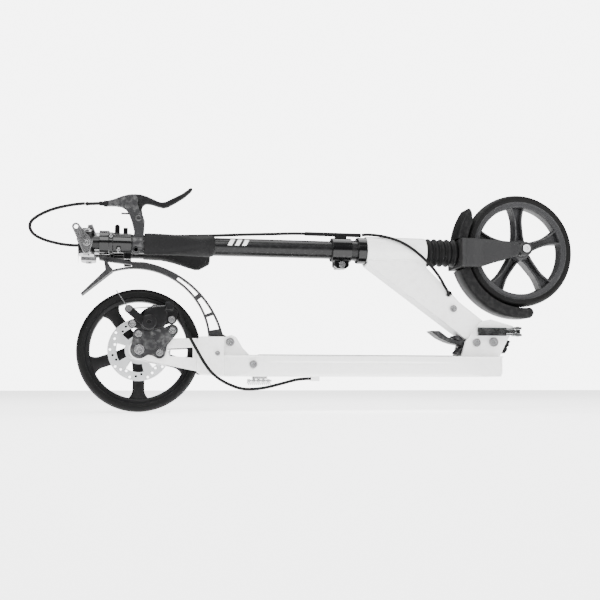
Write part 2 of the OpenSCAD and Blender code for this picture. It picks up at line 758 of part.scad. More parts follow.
// Bare brake wire from the housing stop to its pinch bolt, with its free tail.
module inner_wire() color("silver") station() {
    tail = [-36.8, 191.2];
    rod_y(arm_tip, 2, -56.5, -52.6);
    rod_y(arm_tip, 5, -61, -56.5);
    hull() {
        rod_y([41, 169], 0.8, wire_y - 0.8, wire_y + 0.8);
        rod_y(arm_tip, 0.8, wire_y - 0.8, wire_y + 0.8);
    }
    hull() {
        rod_y(tail, 0.8, wire_y - 0.8, wire_y + 0.8);
        rod_y(arm_tip, 0.8, wire_y - 0.8, wire_y + 0.8);
    }
}

module rear_cable() color("#161617") station() tube(rear_route, cable_r);

// Kickstand -----------------------------------------------------------------------

stand_c = [205, 62];
module kickstand_bracket() color("#8d8f92") station() {
    difference() {
        union() {
            block([194, 30, deck_z0 - 4], [216, 58.5, deck_z0]);
            across(57.2, 59.7) polygon([[194, 54], [216, 54], [214, 66], [209, 70], [201, 70], [196, 66]]);
        }
        rod_y(stand_c, 3, 50, 64);
    }
    // Return spring under the deck
    for (i = [0:4]) rod_x(184 + 8.4 * i, 189 + 8.4 * i, 2.8, 51, 46);
    rod_x(184, 226, 1.6, 51, 46);
    rod_y(stand_c, 3, 57.2, 67);
}

// Leg that lies along the deck's left side and swings down.
module kickstand() color("#1b1b1d") station() difference() {
    union() {
        rod_y(stand_c, 7, 61, 66);
        rod_x(145, 201, 4, 64, 64);
        rod_x(141, 148, 5, 64, 64);
    }
    rod_y(stand_c, 3 + run, 60, 67);
}

// Rear mudguard -------------------------------------------------------------------

outer_c = [-19, 86];
outer_r = 160.5;
inner_c = [-7.3, 113.1];
inner_r = 120.8;
fender_y = 8;
flap_y = 16;
rim_t = 2.6;

// Crescent between the two arcs, shifted inwards by t.
module fender_ring(t) difference() {
    dot(outer_c, outer_r - t);
    dot(inner_c, inner_r + t);
}

module rear_fender() color("#4b4c4f") station() difference() {
    across(-fender_y, fender_y) {
        difference() {
            intersection() {
                fender_ring(0);
                polygon([[-14, 150], [-14, 244.6], [10, 244.6], [45, 260], [145, 260], [145, 122], [105, 122]]);
            }
            for (a = [[9.5, 20], [22.3, 35], [38.5, 57.5]]) intersection() {
                fender_ring(rim_t);
                sector(inner_c, 100, 170, a[0], a[1]);
            }
        }
        // Brake pad, the lower brace and the link to the hinge pin
        polygon([[-67, 253.9], [-64, 254.3], [-19, 245.8], [-10, 244.2], [-10, 239.4], [-15, 240.2], [-55, 245],
            [-66.5, 247.2]]);
        sector(inner_c, inner_r, inner_r + rim_t, 88, 107.6, 6);
        polygon(concat([[115, 122], [119, 129], [132, 129]], arc(fender_c, 8, 50, -130, 10), [[131, 119]]));
    }
    rod_y(fender_c, fender_pin_r + run, -22, 22);
}

// Tail flap on two braces behind the mudguard.
module mudflap() color("#4b4c4f") station() across(-flap_y, flap_y)
    polygon([[-58.5, 245.4], [-53.5, 244.7], [-48, 234.4], [-45.2, 232.2], [-43.95, 228.1], [-50, 223.6],
        [-92, 188.7], [-94.2, 190.3], [-56, 229.4]]);

// Front fork ----------------------------------------------------------------------

leg_y = [23, 37];

module fork_crown() color("#3a3a3c") station() {
    block([crown_x[0], -leg_y[0], 247], [crown_x[1], leg_y[0], 297]);
    rod_x(508, crown_x[0], spigot_r, stem_z);
}

module fork_leg_outline() difference() {
    union() {
        dot(front_hub, 12.5);
        polygon([[crown_x[0], 247], [568, 247], [600, 252], [659, 268.8], [660, 293.4], [610, 296], [572, 297],
            [crown_x[0], 297]]);
    }
    dot(front_hub, axle_r);
}

module right_fork_leg() color("#3a3a3c") station() across(-leg_y[1], -leg_y[0]) fork_leg_outline();

module left_fork_leg() color("#3a3a3c") station() across(leg_y[0], leg_y[1]) fork_leg_outline();

module front_axle() color("silver") station() {
    rod_y(front_hub, axle_r, -leg_y[1], leg_y[1]);
    for (s = [-1, 1]) screw_y(front_hub, 7, s * leg_y[1], 3, s);
    rod_y(front_hub, 6.5, hub_y + gap, leg_y[0]);
    rod_y(front_hub, 6.5, -leg_y[0], -hub_y - gap);
}

// Mudguard with side skirts; under the crown only its inner strip is left.
module front_fender() color("#1b1b1d") station() {
    fender_out = wheel_r + 21;
    fender_in = wheel_r + 2.5;
    difference() {
        across(-21, 21) {
            sector(front_hub, fender_in, fender_out, 143, 283, 36);
            dot(on_arc(front_hub, (fender_in + fender_out) / 2, 283), (fender_out - fender_in) / 2);
        }
        across(-17.5, 17.5) {
            sector(front_hub, wheel_r, fender_out - 3, 150, 280, 36);
        }
        across(-17.5, 17.5) dot(front_hub, wheel_r + 2.6);
        block([530, -30, 246.5], [crown_x[1], 30, 297.5]);
    }
    across(-21, 21) intersection() {
        sector(front_hub, fender_in, fender_in + 2.5, 158, 203, 12);
        translate([crown_x[1] + 0.01, 240]) square([30, 90]);
    }
}

// Wheels --------------------------------------------------------------------------

module tyre(c) turned(c) intersection() {
    translate([rim_r, -tyre_w / 2]) square([wheel_r - rim_r, tyre_w]);
    translate([wheel_r - 24, 0]) circle(r = 24);
}

module rim_body(c) turned(c) {
    translate([rim_in, -tyre_w / 2 + 1.5]) square([rim_r - rim_in, tyre_w - 3]);
    translate([bearing_r, -hub_y]) square([hub_r - bearing_r, 2 * hub_y]);
    translate([axle_r + 3, -hub_y + bearing_w]) square([hub_r - axle_r - 3, 2 * (hub_y - bearing_w)]);
}

module front_tyre() color("#161617") station() tyre(front_hub);

module rear_tyre() color("#161617") station() tyre(rear_hub);

// Spokes with two ribs joined by a thin web.
module front_rim() color("#4a4b4e") station() {
    rim_body(front_hub);
    translate([front_hub[0], 0, front_hub[1]]) for (i = [0:spoke_count - 1]) rotate([0, -20 - 360 * i / spoke_count, 0]) {
        for (s = [-1, 1]) across(-10, 10)
            polygon([[hub_r - 2, s * 3], [hub_r - 2, s * 9], [rim_in + 1, s * 11], [rim_in + 1, s * 6]]);
        block([hub_r - 2, -2, -8], [rim_in + 1, 2, 8]);
    }
}

// Five flat spokes and a flange for the rotor.
module rear_rim() color("#161617") station() {
    rim_body(rear_hub);
    difference() {
        rod_y(rear_hub, hub_r, rotor_y, -hub_y);
        rod_y(rear_hub, 9, rotor_y - 1, -hub_y + 1);
    }
    translate([0, 0, wheel_r]) for (i = [0:spoke_count - 1]) rotate([0, 90 - 360 * i / spoke_count, 0]) {
        across(-8, 8) {
            polygon([[hub_r - 3, -10], [hub_r - 3, 10], [rim_in - 8, 10], [rim_in + 1, 16], [rim_in + 1, -16],
                [rim_in - 8, -10]]);
        }
    }
}

module bearings(c) for (y = [-hub_y, hub_y - bearing_w]) difference() {
    rod_y(c, bearing_r, y, y + bearing_w);
    rod_y(c, axle_r + run, y - 1, y + bearing_w + 1);
}

module front_bearings() color("silver") station() bearings(front_hub);

module rear_bearings() color("silver") station() bearings(rear_hub);

// Perforated disc: a swept band with drilled holes on a five-armed spider.
module rotor() color("silver") station() {
    disc_r = rotor_d / 2;
    across(rotor_y - rotor_t, rotor_y) difference() {
        dot(rear_hub, disc_r);
        dot(rear_hub, 9);
        for (i = [0:4]) sector(rear_hub, 23, disc_r - 14, 72 * i + 20, 72 * i + 66, 6);
        for (i = [0:29]) dot(on_arc(rear_hub, disc_r - 4 - 3.4 * (i % 3), 12 * i), 1.9);
    }
    for (i = [0:4]) screw_y(on_arc(rear_hub, 15.5, 72 * i + 7), 3.8, rotor_y - rotor_t, 2.4, -1);
}

deck();
grip_tape();
front_cap();
rear_block();
right_fork_arm();
left_fork_arm();
rear_axle();
frame_bolts();
hinge_bracket();
bumper();
latch_clevis();
caliper_bracket();
caliper_body();
rear_cable();
kickstand_bracket();
neck_frame();
head_tube();
headset_cups();
neck_bolt();
neck_cable();
lower_stem();
clamp_collar();
bellows();
cable_sleeve();
clamp_bolt();
clamp_lever();
upper_stem();
t_head();
stem_badge();
stem_cable();
right_bar();
right_lock();
left_lock();
right_sleeve();
left_sleeve();
right_grip();
lever_housing();
cable_adjuster();
left_bar();
left_grip();
brake_lever();
caliper_arm();
inner_wire();
fold_latch();
release_lever();
kickstand();
rear_fender();
mudflap();
fork_crown();
right_fork_leg();
left_fork_leg();
front_fender();
front_axle();
front_tyre();
front_rim();
front_bearings();
rear_tyre();
rear_rim();
rotor();
rear_bearings();
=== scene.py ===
"""Looks of a folded kick scooter: painted frame, rubber, moulded plastic and bare metal round a fixed CAD frame.

Lengths in the classes are millimetres measured from the rear axle line (x), the middle plane (y) and the floor (z).
Place.metres turns them into the row frame.
"""

from __future__ import annotations

import json
import logging
import math
from dataclasses import dataclass
from enum import Enum
from typing import Any, Callable, Iterable, Sequence

import bmesh
import bpy
import numpy as np
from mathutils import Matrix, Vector

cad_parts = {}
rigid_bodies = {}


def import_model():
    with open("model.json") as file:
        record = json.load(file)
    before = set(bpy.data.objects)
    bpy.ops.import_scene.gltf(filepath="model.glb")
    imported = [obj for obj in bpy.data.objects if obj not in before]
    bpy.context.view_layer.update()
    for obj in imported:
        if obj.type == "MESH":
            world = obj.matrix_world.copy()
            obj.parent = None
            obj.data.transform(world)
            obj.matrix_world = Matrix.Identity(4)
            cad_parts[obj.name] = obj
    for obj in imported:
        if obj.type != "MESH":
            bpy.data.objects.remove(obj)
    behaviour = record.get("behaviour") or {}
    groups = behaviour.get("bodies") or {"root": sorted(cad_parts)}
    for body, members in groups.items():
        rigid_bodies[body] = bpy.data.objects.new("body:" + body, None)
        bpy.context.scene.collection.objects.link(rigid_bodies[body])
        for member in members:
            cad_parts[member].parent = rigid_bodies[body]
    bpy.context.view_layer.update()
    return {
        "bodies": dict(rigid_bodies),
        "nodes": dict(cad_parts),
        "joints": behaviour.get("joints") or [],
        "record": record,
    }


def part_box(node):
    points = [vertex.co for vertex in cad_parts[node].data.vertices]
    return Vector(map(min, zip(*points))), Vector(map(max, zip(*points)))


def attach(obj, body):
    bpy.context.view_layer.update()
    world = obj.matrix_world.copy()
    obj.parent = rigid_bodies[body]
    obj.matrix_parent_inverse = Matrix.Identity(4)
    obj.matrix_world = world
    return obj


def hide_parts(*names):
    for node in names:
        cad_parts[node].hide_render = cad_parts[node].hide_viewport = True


LOG = logging.getLogger("kick_scooter")
MM = 0.001
MERGE = 2e-6  # points of one shell closer than this are one point, metres
DOUBLED = 1e-7  # the same for surfaces built here, metres
FLAT = math.radians(0.6)  # neighbouring faces closer than this in angle are one face
Array = np.ndarray


# Shaders ------------------------------------------------------------------------------------------


class Value:
    """A number that varies over a surface, written as a Python expression."""

    def __init__(self, recipe: "Recipe", socket: Any) -> None:
        """Wraps a socket.

        Args:
            recipe: material that owns the nodes.
            socket: output that carries the number.
        """
        self.recipe = recipe
        self.socket = socket

    def _math(self, operation: str, first: Any, second: Any) -> "Value":
        """Adds one Math node between two numbers."""
        node = self.recipe.node("ShaderNodeMath", {"operation": operation}, {0: first, 1: second})
        return Value(self.recipe, node.outputs[0])

    def __add__(self, other: Any) -> "Value":
        """self + other."""
        return self._math("ADD", self, other)

    def __rsub__(self, other: Any) -> "Value":
        """other - self."""
        return self._math("SUBTRACT", other, self)

    def __mul__(self, other: Any) -> "Value":
        """self * other."""
        return self._math("MULTIPLY", self, other)

    def clamped(self) -> "Value":
        """self held between 0 and 1."""
        return self._math("MINIMUM", self._math("MAXIMUM", self, 0.0), 1.0)


class Recipe:
    """One material while its nodes are being laid out."""

    def __init__(self, name: str) -> None:
        """Starts a node material with a Principled shader.

        Args:
            name: name of the material.
        """
        self.material = bpy.data.materials.new(name)
        self.material.use_nodes = True
        self.tree = self.material.node_tree
        self.shader = next(n for n in self.tree.nodes if n.type == "BSDF_PRINCIPLED")
        self.coordinates = self.tree.nodes.new("ShaderNodeTexCoord").outputs["Object"]

    def node(self, kind: str, settings: dict[str, Any], sockets: dict[Any, Any]) -> Any:
        """Adds a node.

        Args:
            kind: the node's type.
            settings: properties of the node, set first; "stops" gives a ramp's stops.
            sockets: value, Value or socket for each input, by name or index.

        Returns:
            The new node.
        """
        made = self.tree.nodes.new(kind)
        for key, value in settings.items():
            if key == "stops":
                self._stops(made.color_ramp, value)
            else:
                setattr(made, key, value)
        for key, value in sockets.items():
            self.feed(made.inputs[key], value)
        return made

    def feed(self, socket: Any, value: Any) -> None:
        """Links or sets one input.

        Args:
            socket: the input.
            value: a Value or an output to link, or a constant to set.
        """
        source = value.socket if isinstance(value, Value) else value
        if isinstance(source, bpy.types.NodeSocket):
            self.tree.links.new(source, socket)
        else:
            socket.default_value = source

    @staticmethod
    def _stops(ramp: Any, stops: Sequence[tuple[float, float]]) -> None:
        """Writes grey stops, (position, level), into a colour ramp."""
        while len(ramp.elements) < len(stops):
            ramp.elements.new(1.0)
        for element, (position, level) in zip(ramp.elements, stops):
            element.position = position
            element.color = (level, level, level, 1.0)

    def noise(self, scale: float, detail: float, roughness: float = 0.55) -> Value:
        """Fractal noise with about `scale` features a metre."""
        inputs = {"Vector": self.coordinates, "Scale": scale, "Detail": detail, "Roughness": roughness}
        return Value(self, self.node("ShaderNodeTexNoise", {}, inputs).outputs[0])

    def stretched_noise(self, scale: float, stretch: tuple[float, float, float]) -> Value:
        """Noise drawn out along an axis, for brushed and drawn metal."""
        mapped = self.node("ShaderNodeMapping", {}, {"Vector": self.coordinates, "Scale": stretch})
        made = self.node("ShaderNodeTexNoise", {}, {"Vector": mapped.outputs[0], "Scale": scale, "Detail": 4.0})
        return Value(self, made.outputs[0])

    def cells(self, scale: float) -> Value:
        """Distance to the nearest point of a scattered pattern, for grit and dimples."""
        made = self.node("ShaderNodeTexVoronoi", {}, {"Vector": self.coordinates, "Scale": scale})
        return Value(self, made.outputs["Distance"])

    def ramp(self, value: Value, stops: Sequence[tuple[float, float]]) -> Value:
        """Carries a number through a ramp.

        Args:
            value: the number.
            stops: (position, level) of each stop.

        Returns:
            The level at the number.
        """
        made = self.node("ShaderNodeValToRGB", {"stops": stops}, {"Fac": value})
        return Value(self, made.outputs[0])

    def edge_wear(self) -> Value:
        """Near 1 on convex edges and 0 elsewhere."""
        made = self.node("ShaderNodeNewGeometry", {}, {})
        return self.ramp(Value(self, made.outputs["Pointiness"]), [(0.5, 0.0), (0.56, 1.0)])

    def colour(self, mask: Value, low: Any, high: Any) -> Any:
        """Mix of two colours by a mask.

        Args:
            mask: 0 gives low and 1 gives high.
            low: first colour, a socket or linear RGB.
            high: second colour, a socket or linear RGB.

        Returns:
            The colour socket.
        """
        sides = [c if isinstance(c, bpy.types.NodeSocket) else (*c, 1.0) for c in (low, high)]
        made = self.node("ShaderNodeMix", {"data_type": "RGBA"}, {0: mask, 6: sides[0], 7: sides[1]})
        return made.outputs[2]

    def bump(self, height: Value, distance: float) -> None:
        """Feeds the shader's normal from a height, `distance` metres deep."""
        made = self.node("ShaderNodeBump", {}, {"Height": height, "Distance": distance, "Strength": 1.0})
        self.tree.links.new(made.outputs[0], self.shader.inputs["Normal"])

    def set(self, **values: Any) -> None:
        """Sets shader inputs; underscores in their names stand for spaces."""
        for key, value in values.items():
            self.feed(self.shader.inputs[key.replace("_", " ")], value)


class Texture(Enum):
    """What a moulded or coated surface feels like close up."""

    ORANGE_PEEL = "orange peel"
    FINE_GRAIN = "fine grain"
    DIMPLES = "dimples"
    GRIT = "grit"
    BRUSHED = "brushed"
    TURNED = "turned"
    PLAIN = "plain"


@dataclass(frozen=True)
class Finish:
    """One surface finish: its colours, gloss and fine relief."""

    name: str
    low: tuple[float, float, float]
    high: tuple[float, float, float]
    rough: tuple[float, float]
    texture: Texture = Texture.FINE_GRAIN
    depth: float = 0.00003
    scale: float = 900.0
    metallic: float = 0.0
    coat: float = 0.0
    specular: float = 0.5
    wear: tuple[float, float, float] | None = None

    def _relief(self, recipe: Recipe) -> Value:
        """Height of the fine relief for the chosen texture."""
        if self.texture is Texture.GRIT:
            return 1 - recipe.cells(self.scale)
        if self.texture is Texture.DIMPLES:
            return recipe.ramp(recipe.cells(self.scale), [(0.15, 0.0), (0.4, 1.0)])
        if self.texture is Texture.BRUSHED:
            return recipe.stretched_noise(self.scale, (0.06, 1.0, 1.0))
        if self.texture is Texture.TURNED:
            return recipe.stretched_noise(self.scale, (1.0, 0.08, 1.0))
        return recipe.noise(self.scale, 4.0)

    def build(self) -> bpy.types.Material:
        """Lays out the material.

        Returns:
            The finished material.
        """
        recipe = Recipe(self.name)
        cloud = recipe.ramp(recipe.noise(14.0, 2.0), [(0.2, 0.0), (0.8, 1.0)])
        colour = recipe.colour(cloud, self.low, self.high)
        smudge = recipe.ramp(recipe.noise(60.0, 3.0, 0.5), [(0.2, 0.0), (0.8, 1.0)])
        rough = smudge * (self.rough[1] - self.rough[0]) + self.rough[0]
        if self.wear is not None:
            rubbed = (recipe.edge_wear() * recipe.ramp(recipe.noise(140.0, 5.0), [(0.45, 0.0), (0.7, 1.0)])).clamped()
            colour = recipe.colour(rubbed, colour, self.wear)
        recipe.set(Base_Color=colour, Roughness=rough, Metallic=self.metallic, Coat_Weight=self.coat)
        recipe.shader.inputs["Coat Roughness"].default_value = 0.08
        recipe.shader.inputs["Specular IOR Level"].default_value = self.specular
        if self.texture is not Texture.PLAIN:
            recipe.bump(self._relief(recipe), self.depth)
        return recipe.material


FINISHES: dict[str, Finish] = {
    "frame_white": Finish("frame_white", (0.87, 0.87, 0.865), (0.90, 0.90, 0.89), (0.26, 0.34), Texture.ORANGE_PEEL,
                          0.00002, 420.0, coat=0.3, wear=(0.80, 0.79, 0.78)),
    "lip_white": Finish("lip_white", (0.84, 0.84, 0.835), (0.87, 0.87, 0.86), (0.32, 0.42), Texture.ORANGE_PEEL,
                        0.00002, 520.0, coat=0.15, wear=(0.76, 0.76, 0.75)),
    "grip_tape": Finish("grip_tape", (0.0074, 0.0074, 0.0081), (0.0174, 0.0174, 0.0186), (0.8, 0.95), Texture.GRIT,
                        0.0004, 1300.0, specular=0.10),
    "stem_black": Finish("stem_black", (0.0037, 0.0037, 0.0040), (0.0048, 0.0048, 0.0051), (0.26, 0.34),
                         Texture.FINE_GRAIN, 0.00001, 1800.0, coat=0.1, specular=0.20, wear=(0.0124, 0.0124, 0.0130)),
    "gloss_black": Finish("gloss_black", (0.0025, 0.0025, 0.0027), (0.0034, 0.0034, 0.0037), (0.12, 0.2),
                          Texture.PLAIN, coat=0.35, specular=0.17),
    "fork_grey": Finish("fork_grey", (0.0177, 0.0177, 0.0183), (0.0202, 0.0202, 0.0208), (0.4, 0.48),
                        Texture.FINE_GRAIN, 0.00003, 1500.0, specular=0.12, wear=(0.0341, 0.0341, 0.0341)),
    "fender_grey": Finish("fender_grey", (0.0248, 0.0248, 0.0260), (0.0279, 0.0279, 0.0291), (0.44, 0.54),
                          Texture.FINE_GRAIN, 0.00003, 1500.0, specular=0.12, wear=(0.0465, 0.0465, 0.0465)),
    "fender_black": Finish("fender_black", (0.0043, 0.0043, 0.0046), (0.0056, 0.0056, 0.0058), (0.42, 0.52),
                           Texture.FINE_GRAIN, 0.00004, 1400.0, specular=0.10, wear=(0.0136, 0.0136, 0.0136)),
    "lever_grey": Finish("lever_grey", (0.0186, 0.0186, 0.0198), (0.0223, 0.0223, 0.0236), (0.34, 0.44),
                         Texture.FINE_GRAIN, 0.000025, 1700.0, metallic=0.2, specular=0.17, wear=(0.1, 0.1, 0.1)),
    "rubber_black": Finish("rubber_black", (0.0031, 0.0031, 0.0032), (0.0046, 0.0046, 0.0048), (0.45, 0.58),
                           Texture.FINE_GRAIN, 0.00003, 2200.0, specular=0.11),
    "grip_rubber": Finish("grip_rubber", (0.0068, 0.0068, 0.0071), (0.0090, 0.0090, 0.0093), (0.56, 0.7),
                          Texture.DIMPLES, 0.0002, 520.0, specular=0.10),
    "tyre": Finish("tyre", (0.0034, 0.0034, 0.0034), (0.0048, 0.0048, 0.0048), (0.44, 0.58), Texture.FINE_GRAIN,
                   0.00004, 1600.0, specular=0.09),
    "rim_black": Finish("rim_black", (0.0031, 0.0031, 0.0033), (0.0042, 0.0042, 0.0045), (0.3, 0.42),
                        Texture.FINE_GRAIN, 0.00002, 1500.0, specular=0.15, wear=(0.0112, 0.0112, 0.0112)),
    "rim_grey": Finish("rim_grey", (0.0223, 0.0223, 0.0236), (0.0254, 0.0254, 0.0267), (0.32, 0.42), Texture.FINE_GRAIN,
                       0.00002, 1500.0, metallic=0.15, specular=0.15, wear=(0.0496, 0.0496, 0.0496)),
    "steel": Finish("steel", (0.26, 0.26, 0.265), (0.34, 0.34, 0.345), (0.2, 0.3), Texture.TURNED, 0.00002, 2600.0,
                    metallic=1.0),
    "rotor_steel": Finish("rotor_steel", (0.62, 0.63, 0.64), (0.72, 0.73, 0.74), (0.26, 0.38), Texture.BRUSHED,
                          0.00002, 2400.0, metallic=1.0),
    "chrome": Finish("chrome", (0.42, 0.425, 0.43), (0.5, 0.505, 0.51), (0.07, 0.14), Texture.BRUSHED, 0.000006,
                     1800.0, metallic=1.0),
    "badge_white": Finish("badge_white", (0.80, 0.80, 0.79), (0.86, 0.86, 0.85), (0.4, 0.55), Texture.FINE_GRAIN,
                          0.00001, 2000.0),
}


# Place and mesh helpers ---------------------------------------------------------------------------


class Place:
    """The scooter in the row frame: where its axle line is and which body each CAD node belongs to."""

    def __init__(self, frame: dict[str, Any]) -> None:
        """Reads the rear axle's place and the bodies and slots of the record.
        """
        self.nodes = frame["nodes"]
        record = frame["record"]
        self.bodies = {n: b for b, ns in record["behaviour"]["bodies"].items() for n in ns}
        self.slots = {s["node"]: s["material_slot"] for s in record["subparts"]}
        low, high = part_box("rear_tyre")
        self.origin = np.array([(low.x + high.x) / 2, 0.0, low.z])
        self.materials = {name: finish.build() for name, finish in FINISHES.items()}
        self.made: list[str] = []

    def metres(self, points: Array) -> Array:
        """Millimetres from the axle line, to metres in the row frame."""
        return np.asarray(points, float) * MM + self.origin

    def dress(self, piece: bpy.types.Object, slot: str, body: str, nodes: Iterable[str] = ()) -> bpy.types.Object:
        """Paints a piece, puts it on its body and lets it stand for CAD nodes.

        Args:
            piece: the new object, in place.
            slot: material slot of the record.
            body: CAD body that it moves with.
            nodes: CAD nodes that it replaces.

        Returns:
            The piece.
        """
        piece.data.materials.clear()
        piece.data.materials.append(self.materials[slot])
        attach(piece, body)
        for name in nodes:
            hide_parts(name)
        self.made.append(piece.name)
        LOG.info("%s on %s, %d points", piece.name, body, len(piece.data.vertices))
        return piece


def new_object(name: str, mesh: bpy.types.Mesh) -> bpy.types.Object:
    """Links a mesh into the scene as an object at the origin.

    Args:
        name: name of the object.
        mesh: its mesh.

    Returns:
        The object.
    """
    made = bpy.data.objects.new(name, mesh)
    bpy.context.scene.collection.objects.link(made)
    return made


def smooth(mesh: bpy.types.Mesh, angle: float = 35.0) -> None:
    """Shades a mesh smooth.

    Args:
        mesh: the mesh.
        angle: edges over this stay sharp, degrees.
    """
    mesh.polygons.foreach_set("use_smooth", np.ones(len(mesh.polygons), bool))
    mesh.set_sharp_from_angle(angle=math.radians(angle))


def face_out(mesh: bpy.types.Mesh) -> None:
    """Merges doubled points, then turns every face outwards."""
    work = bmesh.new()
    work.from_mesh(mesh)
    bmesh.ops.remove_doubles(work, verts=work.verts, dist=DOUBLED)
    bmesh.ops.dissolve_degenerate(work, edges=work.edges, dist=DOUBLED)
    bmesh.ops.recalc_face_normals(work, faces=work.faces)
    work.to_mesh(mesh)
    work.free()


def bevel(piece: bpy.types.Object, width: float) -> None:
    """Rounds the edges sharper than 32 degrees with a live bevel.

    Args:
        piece: the object.
        width: width of the bevel, mm.
    """
    made = piece.modifiers.new("rounding", "BEVEL")
    made.width = width * MM
    made.segments = 2
    made.limit_method = "ANGLE"
    made.angle_limit = math.radians(32.0)
    made.use_clamp_overlap = False


def skin(name: str, grids: Sequence[tuple[Array, bool, bool]], angle: float = 35.0) -> bpy.types.Object:
    """Makes one mesh from grids of points; a grid open along m only is capped at both ends.

    Args:
        name: name of the object and its mesh.
        grids: (points[m, n, 3] in metres, closed along m, closed along n) for each surface.
        angle: edges over this stay sharp, degrees.

    Returns:
        The new object.
    """
    points: list[Array] = []
    quads: list[Array] = []
    caps: list[list[int]] = []
    start = 0
    for grid, closed_m, closed_n in grids:
        m, n = grid.shape[:2]
        index = np.arange(m * n).reshape(m, n) + start
        rows = index if not closed_m else np.vstack([index, index[:1]])
        rows = rows if not closed_n else np.hstack([rows, rows[:, :1]])
        quads.append(np.stack([rows[:-1, :-1], rows[:-1, 1:], rows[1:, 1:], rows[1:, :-1]], -1).reshape(-1, 4))
        if closed_n and not closed_m:
            caps += [index[0].tolist(), index[-1][::-1].tolist()]
        points.append(grid.reshape(-1, 3))
        start += m * n
    mesh = bpy.data.meshes.new(name)
    faces = np.vstack(quads).tolist() + caps
    mesh.from_pydata(np.vstack(points).tolist(), [], faces)
    mesh.validate()
    face_out(mesh)
    smooth(mesh, angle)
    return new_object(name, mesh)


def revolved(profile: Array, centre: Sequence[float], axis: str, steps: int = 96) -> Array:
    """Turns a closed profile about an axis.

    The point at angle t is centre + along * axis + radius * (cos t, sin t) in the plane across the axis.

    Args:
        profile: rows of (along, radius).
        centre: point on the axis.
        axis: "x", "y" or "z".
        steps: points round the axis.

    Returns:
        Grid of points, closed both ways.
    """
    profile = np.asarray(profile, float)
    turn = np.linspace(0.0, 2 * np.pi, steps, endpoint=False)[:, None]
    along = np.broadcast_to(profile[:, 0], (steps, len(profile)))
    a, b = profile[:, 1] * np.cos(turn), profile[:, 1] * np.sin(turn)
    order = {"x": (along, a, b), "y": (a, along, b), "z": (a, b, along)}[axis]
    return np.stack(order, -1) + np.asarray(centre, float)


def spline(points: Sequence[Sequence[float]], per: int) -> Array:
    """Catmull-Rom curve through points; the ends hold their direction.

    Args:
        points: knots of the curve.
        per: steps in each span.

    Returns:
        Points along the curve.
    """
    knots = np.asarray(points, float)
    padded = np.vstack([2 * knots[0] - knots[1], knots, 2 * knots[-1] - knots[-2]])
    t = np.linspace(0.0, 1.0, per, endpoint=False)[None, :, None]
    a, b, c, d = (padded[i:len(padded) - 3 + i][:, None, :] for i in range(4))
    curve = 0.5 * (2 * b + (c - a) * t + (2 * a - 5 * b + 4 * c - d) * t**2 + (3 * b - a - 3 * c + d) * t**3)
    return np.vstack([curve.reshape(-1, knots.shape[1]), knots[-1:]])


def carried(path: Array, section: Array, across: Sequence[float], size: Array) -> Array:
    """Carries a section along a path.

    Args:
        path: points of the path.
        section: outline in (u, v); u runs along the cross product of heading and across, v completes the frame.
        across: direction that the path never runs along.
        size: scale of the section at each point of the path.

    Returns:
        Grid of points, one row for each point of the path.
    """
    heading = np.gradient(path, axis=0)
    heading /= np.linalg.norm(heading, axis=1, keepdims=True)
    u = np.cross(heading, np.asarray(across, float))
    u /= np.linalg.norm(u, axis=1, keepdims=True)
    v = np.cross(u, heading)
    scale = size[:, None, None]
    offset = section[None, :, 0:1] * scale * u[:, None, :]
    return path[:, None, :] + offset + section[None, :, 1:2] * scale * v[:, None, :]


def ellipse(power: float, steps: int) -> Array:
    """Unit superellipse: cos and sin raised to 2/power with their signs kept.

    Args:
        power: 2 gives a circle, and larger values near a square.
        steps: points of the outline.

    Returns:
        The outline's points.
    """
    t = np.linspace(0.0, 2 * np.pi, steps, endpoint=False)
    c, s = np.cos(t), np.sin(t)
    return np.stack([np.sign(c) * np.abs(c) ** (2 / power), np.sign(s) * np.abs(s) ** (2 / power)], -1)


def mirrored(half: Array) -> Array:
    """Closes half an outline with its mirror image in the first coordinate."""
    return np.vstack([half, (half * [-1, 1])[::-1]])


def joined(mesh: bpy.types.Mesh) -> bpy.types.Mesh:
    """Joins the touching or crossing shells of a mesh into one skin.

    Args:
        mesh: mesh of several closed shells.

    Returns:
        A new mesh.
    """
    work = bmesh.new()
    work.from_mesh(mesh)
    bmesh.ops.remove_doubles(work, verts=work.verts, dist=MERGE)
    work.verts.ensure_lookup_table()
    left, shells = set(work.verts), []
    while left:
        shell, todo = set(), [left.pop()]
        while todo:
            vert = todo.pop()
            shell.add(vert)
            near = {edge.other_vert(vert) for edge in vert.link_edges} & left
            left -= near
            todo += near
        shells.append(sorted(v.index for v in shell))
    shells.sort()
    halves = []
    for keep in (shells[:1], shells[1:]):
        part = work.copy()
        part.verts.ensure_lookup_table()
        wanted = {i for shell in keep for i in shell}
        bmesh.ops.delete(part, geom=[v for v in part.verts if v.index not in wanted], context="VERTS")
        half = bpy.data.meshes.new("shell")
        part.to_mesh(half)
        part.free()
        halves.append(new_object("shell", half))
    work.free()
    first, rest = halves
    if len(shells) > 1:
        union = first.modifiers.new("union", "BOOLEAN")
        union.operation, union.solver, union.object, union.use_self = "UNION", "EXACT", rest, True
    graph = bpy.context.evaluated_depsgraph_get()
    made = bpy.data.meshes.new_from_object(first.evaluated_get(graph), depsgraph=graph)
    for half in halves:
        bpy.data.objects.remove(half)
    return made


